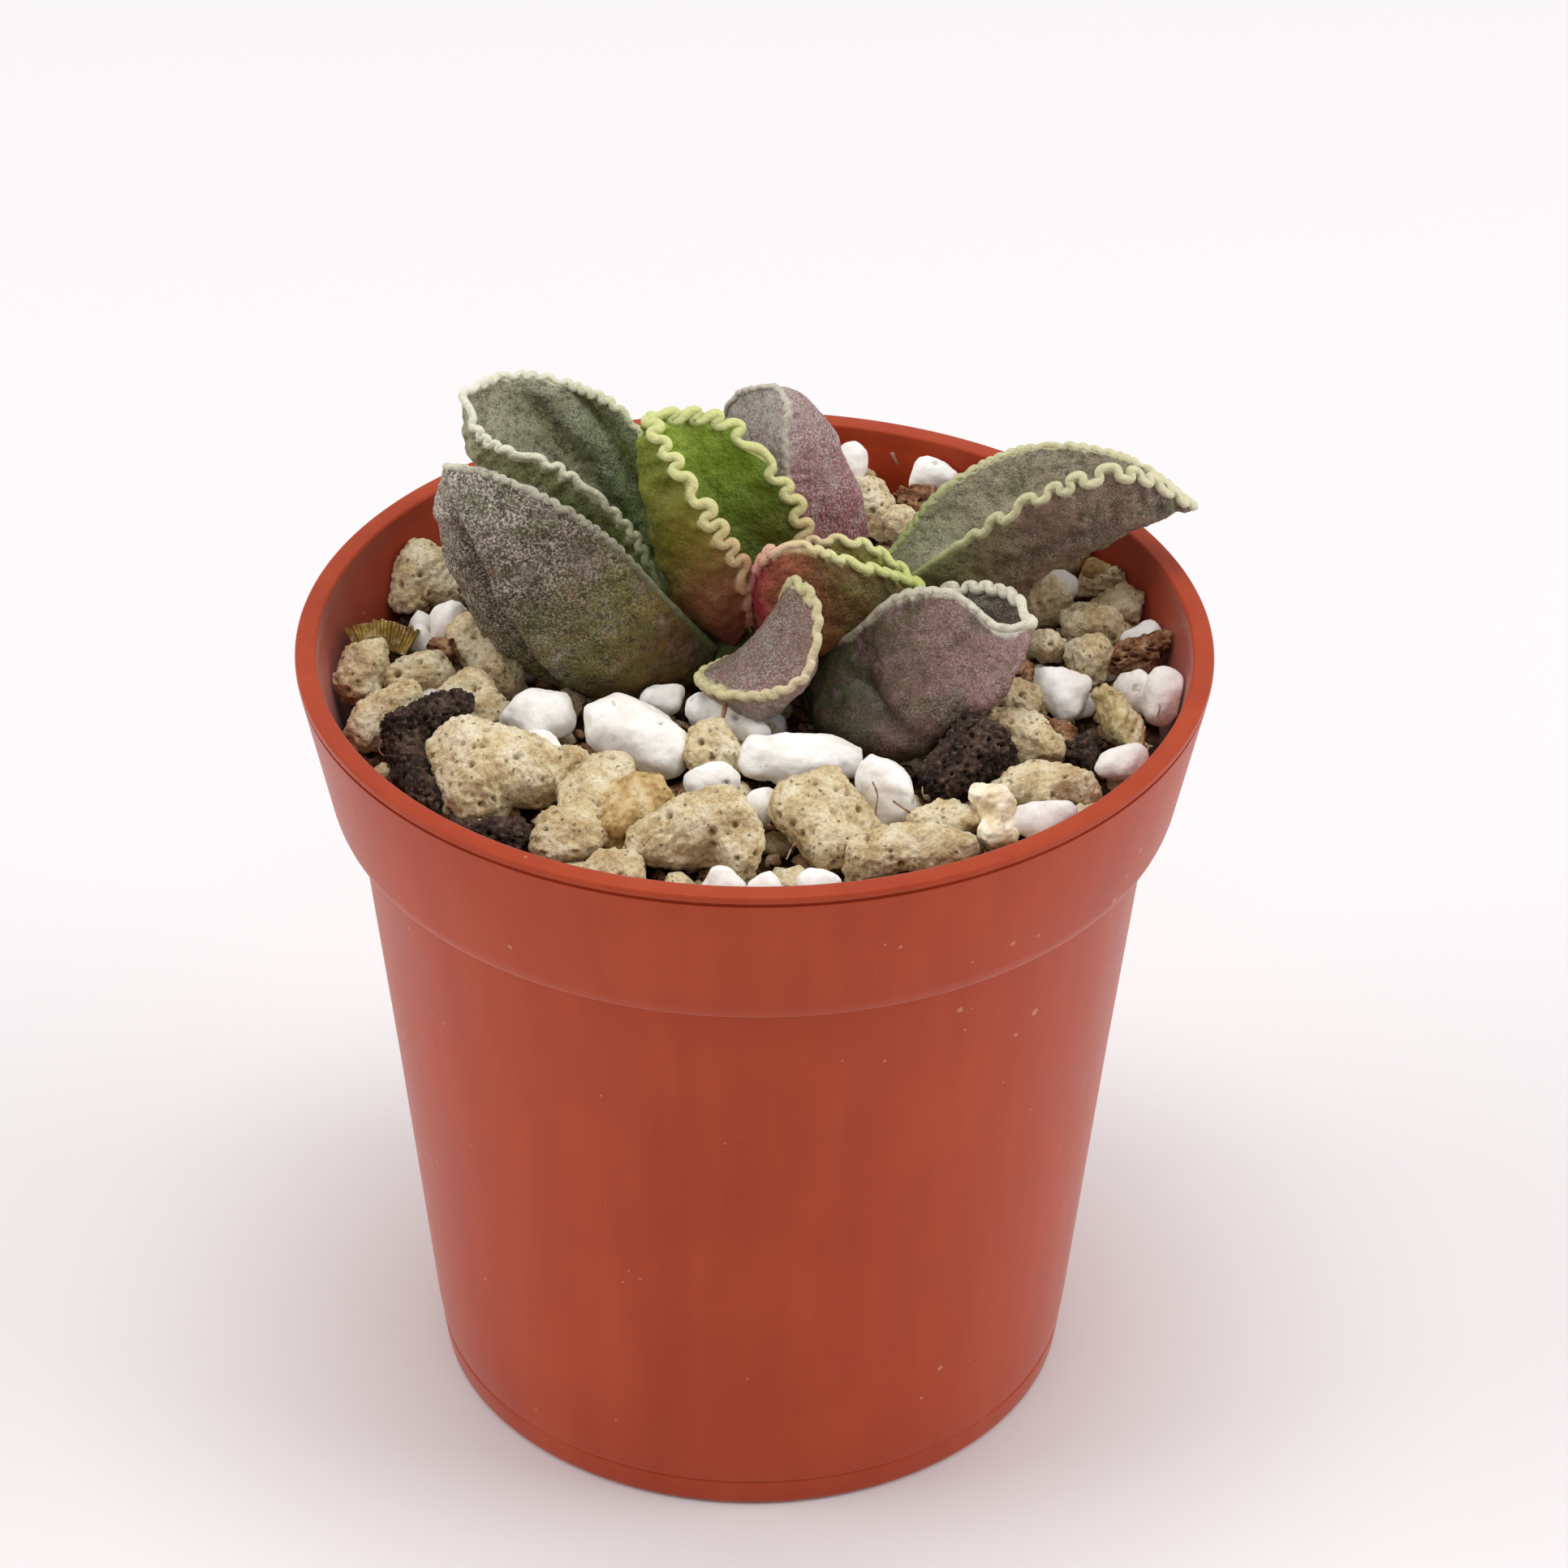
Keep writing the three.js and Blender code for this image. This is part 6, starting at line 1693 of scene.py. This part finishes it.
# %% Scattering tree
def scattering_tree():
    tree = bpy.data.node_groups.new("Scattered chips", "GeometryNodeTree")
    sockets = tree.interface
    sockets.new_socket("Geometry", in_out="INPUT", socket_type="NodeSocketGeometry")
    sockets.new_socket("Keep clear of", in_out="INPUT", socket_type="NodeSocketObject")
    for name in ("Spacing", "Clearance", "Least size", "Most size", "Flatness", "Lift", "Roughness"):
        sockets.new_socket(name, in_out="INPUT", socket_type="NodeSocketFloat")
    sockets.new_socket("Seed", in_out="INPUT", socket_type="NodeSocketInt")
    sockets.new_socket("Material", in_out="INPUT", socket_type="NodeSocketMaterial")
    sockets.new_socket("Geometry", in_out="OUTPUT", socket_type="NodeSocketGeometry")
    given = add(tree, "NodeGroupInput").outputs
    spread = add(
        tree,
        "GeometryNodeDistributePointsOnFaces",
        {
            "Mesh": given["Geometry"],
            "Distance Min": given["Spacing"],
            "Density Max": 4.0e6,
            "Seed": given["Seed"],
        },
        distribute_method="POISSON",
    )
    others = add(tree, "GeometryNodeObjectInfo", {"Object": given["Keep clear of"]})
    nearest = add(tree, "GeometryNodeProximity", {0: others.outputs["Geometry"]}, target_element="FACES")
    close = add(
        tree, "ShaderNodeMath", {0: nearest.outputs["Distance"], 1: given["Clearance"]}, operation="LESS_THAN"
    )
    kept = add(
        tree,
        "GeometryNodeDeleteGeometry",
        {"Geometry": spread.outputs["Points"], "Selection": close.outputs[0]},
        domain="POINT",
    )
    turned = add(
        tree,
        "FunctionNodeRandomValue",
        {0: (0.0, 0.0, 0.0), 1: (0.7, 0.7, 2 * math.pi), "Seed": given["Seed"]},
        data_type="FLOAT_VECTOR",
    )
    sizes = add(
        tree,
        "FunctionNodeRandomValue",
        {2: given["Least size"], 3: given["Most size"], "Seed": given["Seed"]},
        data_type="FLOAT",
    )
    shape = add(tree, "ShaderNodeCombineXYZ", {0: 1.25, 1: 0.9, 2: given["Flatness"]})
    scale = add(tree, "ShaderNodeVectorMath", {0: shape.outputs[0]}, operation="SCALE")
    tree.links.new(sizes.outputs[1], scale.inputs["Scale"])
    pebble = add(tree, "GeometryNodeMeshIcoSphere", {"Radius": 0.5, "Subdivisions": 2})
    placed = add(
        tree,
        "GeometryNodeInstanceOnPoints",
        {
            "Points": kept.outputs[0],
            "Instance": pebble.outputs[0],
            "Rotation": turned.outputs[0],
            "Scale": scale.outputs[0],
        },
    )
    height = add(tree, "ShaderNodeCombineXYZ", {2: given["Lift"]})
    lifted = add(
        tree, "GeometryNodeTranslateInstances", {"Instances": placed.outputs[0], "Translation": height.outputs[0]}
    )
    tree.links.new(height.outputs[0], lifted.inputs["Translation"])
    lifted.inputs["Local Space"].default_value = False
    real = add(tree, "GeometryNodeRealizeInstances", {"Geometry": lifted.outputs[0]})
    where = add(tree, "GeometryNodeInputPosition")
    lumps = add(
        tree, "ShaderNodeTexNoise", {"Vector": where.outputs[0], "Scale": 1 / (0.7 * MM), "Detail": 1.0}
    )
    centred = add(tree, "ShaderNodeVectorMath", {0: lumps.outputs[1], 1: (0.5, 0.5, 0.5)}, operation="SUBTRACT")
    push = add(tree, "ShaderNodeVectorMath", {0: centred.outputs[0]}, operation="SCALE")
    tree.links.new(given["Roughness"], push.inputs["Scale"])
    uneven = add(tree, "GeometryNodeSetPosition", {"Geometry": real.outputs[0], "Offset": push.outputs[0]})
    smooth = add(tree, "GeometryNodeSetShadeSmooth", {"Geometry": uneven.outputs[0]})
    dressed = add(tree, "GeometryNodeSetMaterial", {"Geometry": smooth.outputs[0], "Material": given["Material"]})
    add(tree, "NodeGroupOutput", {"Geometry": dressed.outputs[0]})
    return tree


# %% Ground to scatter on, and what stands in it
def dish_surface(name, radius, share, steps=20, turns=48):
    points, faces = [(0, 0, dish_heights[0] * MM)], []
    for i in range(1, steps + 1):
        r = radius * i / steps
        z = float(np.interp(r, dish_radii, dish_heights))
        for k in range(turns):
            angle = 2 * math.pi * k / turns
            points.append((r * MM * math.cos(angle), r * MM * math.sin(angle), z * MM))
    used = range(int(share * turns))
    for k in used:
        faces.append((0, 1 + k, 1 + (k + 1) % turns))
    for i in range(steps - 1):
        for k in used:
            a, b = 1 + i * turns + k, 1 + i * turns + (k + 1) % turns
            faces.append((a, a + turns, b + turns, b))
    return mesh_piece(name, points, faces, soil_finish)


SCATTER_TREE = scattering_tree()
standing = bmesh.new()
for name in grain_nodes + list(LEAVES):
    if name != "stem":
        standing.from_mesh(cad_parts[name].data)
standing_mesh = bpy.data.meshes.new("standing")
standing.to_mesh(standing_mesh)
standing.free()
obstacles = new_object("standing", standing_mesh)

# name, kind of grain, share of the circle from +X on, spacing, clearance, least and most size, flatness,
# lift, roughness and seed
CHIPS = [
    ("chips_pumice", "pumice", 1.0, 3.0, 0.9, 1.4, 2.6, 0.85, 0.5, 1.2, 3),
    ("chips_pumice_fine", "pumice", 1.0, 2.7, 0.3, 0.6, 1.3, 0.8, 0.2, 0.6, 8),
    ("chips_perlite", "perlite", 0.5, 3.6, 0.8, 1.2, 2.0, 0.9, 0.9, 0.7, 14),
    ("crumbs_bark", "bark", 1.0, 1.7, 0.25, 0.7, 1.7, 0.5, 0.4, 1.2, 21),
    ("crumbs_lava", "lava", 1.0, 5.2, 0.5, 0.8, 1.6, 0.8, 0.7, 0.9, 33),
]
for name, kind, share, spacing, clearance, least, most, flatness, lift, rough, seed in CHIPS:
    chips = run_tree(
        dish_surface(name, 23.6, share),
        SCATTER_TREE,
        {
            "Keep clear of": obstacles,
            "Spacing": spacing * MM,
            "Clearance": clearance * MM,
            "Least size": least * MM,
            "Most size": most * MM,
            "Flatness": flatness,
            "Lift": lift * MM,
            "Roughness": rough * MM,
            "Seed": seed,
            "Material": KINDS[kind]["material"],
        },
    )
    keep_in_pot(chips.data)
    stand_for(chips, KINDS[kind]["slot"])
    print(name, triangles(chips), "triangles")
bpy.data.objects.remove(obstacles)


# %% [markdown]
# ## Small finds
#
# A few things lie on the grit that no pebble shape fits. A granule of vermiculite is a mica crystal that
# popped open like an accordion, so it is a fan of thin plates set along an arc. A dead leaf stalk, a twig
# and some root hairs are thin, slightly wavy cords. The bead's tree already sweeps a circle along a line,
# so it makes them too, with no sway and no push.

# %% Vermiculite granule
PLATE_COUNT = 19
PLATE_THICKNESS = 0.2
PLATE_DEPTH = 2.2
FAN_INNER_RADIUS = 2.6
FAN_OUTER_RADIUS = 4.4
FAN_ARC = (119, 60)
FAN_MIDDLE = Vector((-22.7, 3.13, 44.85)) * MM


def plate_fan(name, middle, seed):
    work = bmesh.new()
    chance = np.random.default_rng(seed)
    for angle in np.radians(np.linspace(*FAN_ARC, PLATE_COUNT)):
        outward = math.cos(angle) * right + math.sin(angle) * up
        sideways = math.cos(angle) * up - math.sin(angle) * right
        length = (FAN_OUTER_RADIUS - FAN_INNER_RADIUS) * chance.uniform(0.93, 1.07)
        sides = [
            outward * length,
            sideways * PLATE_THICKNESS * chance.uniform(0.8, 1.4),
            -forward * PLATE_DEPTH * chance.uniform(0.85, 1.05),
        ]
        turn = Matrix(sides).transposed().to_4x4() * MM
        turn.translation = middle + outward * (FAN_INNER_RADIUS + length / 2) * MM
        turn[3][3] = 1
        bmesh.ops.create_cube(work, size=1, matrix=turn)
    bmesh.ops.bevel(work, geom=work.edges[:], offset=0.05 * MM, segments=1, affect="EDGES")
    mesh = bpy.data.meshes.new(name)
    work.to_mesh(mesh)
    work.free()
    mesh.materials.append(mica)
    piece = new_object(name, mesh)
    face_outwards(piece)
    keep_in_pot(piece.data)
    return piece


mica = grit_finish(
    "Vermiculite granule, dull gold", KINDS["golden"]["look"] | {"ground": ["#74540f", "#8c6c1e", "#aa8c3c"], "shade": "#4e3a0c"}
)
fan = plate_fan("vermiculite_granule", FAN_MIDDLE, 4)
stand_for(fan, "golden_flake")
print("vermiculite:", triangles(fan), "triangles")

# %% Cords
twig_finish = grit_finish("Dead root and twig, dry", KINDS["slab"]["look"] | {"ground": ["#8c5f48", "#a87a62", "#c09a84"], "mottle": 0.4})
# name, radius, and points in millimetres
CORDS = [
    ("twig_back", 0.1, [(8.5, 24.7, 49.6), (9.0, 24.5, 48.7), (9.5, 24.4, 47.9), (9.9, 24.2, 46.8)]),
    ("dead_stalk", 0.16, [(-1.7, -3.2, 48.4), (-1.9, -4.0, 47.7), (-2.2, -4.8, 46.9), (-2.5, -5.6, 46.2)]),
    ("root_hair_1", 0.06, [(7.0, -11.6, 48.4), (7.3, -12.2, 47.8), (7.2, -12.8, 46.9), (7.6, -13.4, 46.0)]),
    ("root_hair_2", 0.06, [(8.2, -12.4, 47.6), (8.8, -12.7, 47.3), (9.5, -12.5, 46.6), (10.2, -13.0, 46.2)]),
    ("root_hair_3", 0.06, [(-11.4, -13.6, 46.6), (-10.2, -13.2, 46.9), (-9.3, -13.5, 46.5), (-8.3, -13.2, 46.1)]),
    ("root_hair_4", 0.045, [(24.1, -1.6, 48.1), (24.3, -2.0, 47.7), (24.2, -2.3, 47.2), (24.3, -2.6, 46.8)]),
    ("root_hair_5", 0.06, [(15.2, -1.6, 46.7), (16.2, -2.0, 47.1), (17.4, -1.8, 46.8), (18.3, -2.4, 46.5)]),
    ("root_hair_6", 0.06, [(-22.6, -3.8, 47.0), (-22.0, -4.7, 46.9), (-22.3, -5.8, 46.6), (-21.6, -6.7, 46.3)]),
    ("root_hair_7", 0.05, [(2.0, -16.8, 46.4), (2.5, -15.9, 46.9), (3.3, -15.6, 46.6), (3.8, -16.6, 46.2)]),
    ("root_hair_8", 0.06, [(-6.0, 15.5, 46.4), (-4.6, 16.0, 47.0), (-3.4, 15.4, 46.8), (-2.2, 15.9, 46.2)]),
]
CORD_STEPS = 24
for name, radius, points in CORDS:
    path = curve_through(points, np.linspace(0, 1, CORD_STEPS)) * MM
    line = bpy.data.meshes.new(name)
    line.from_pydata([tuple(p) for p in path], [(i, i + 1) for i in range(CORD_STEPS - 1)], [])
    flat = np.zeros((CORD_STEPS, 3))
    store(line, {"sway": flat, "push": flat, "phase": flat[:, 0], "hole": flat[:, 0]})
    cord = run_tree(
        new_object(name, line),
        BEAD_TREE,
        {
            "Bead radius": radius * MM,
            "Step": 0.15 * MM,
            "Unevenness": 0.3,
            "Sides": 7,
            "Material": twig_finish,
        },
    )
    stand_for(cord, "bark")
print(len(CORDS), "cords")
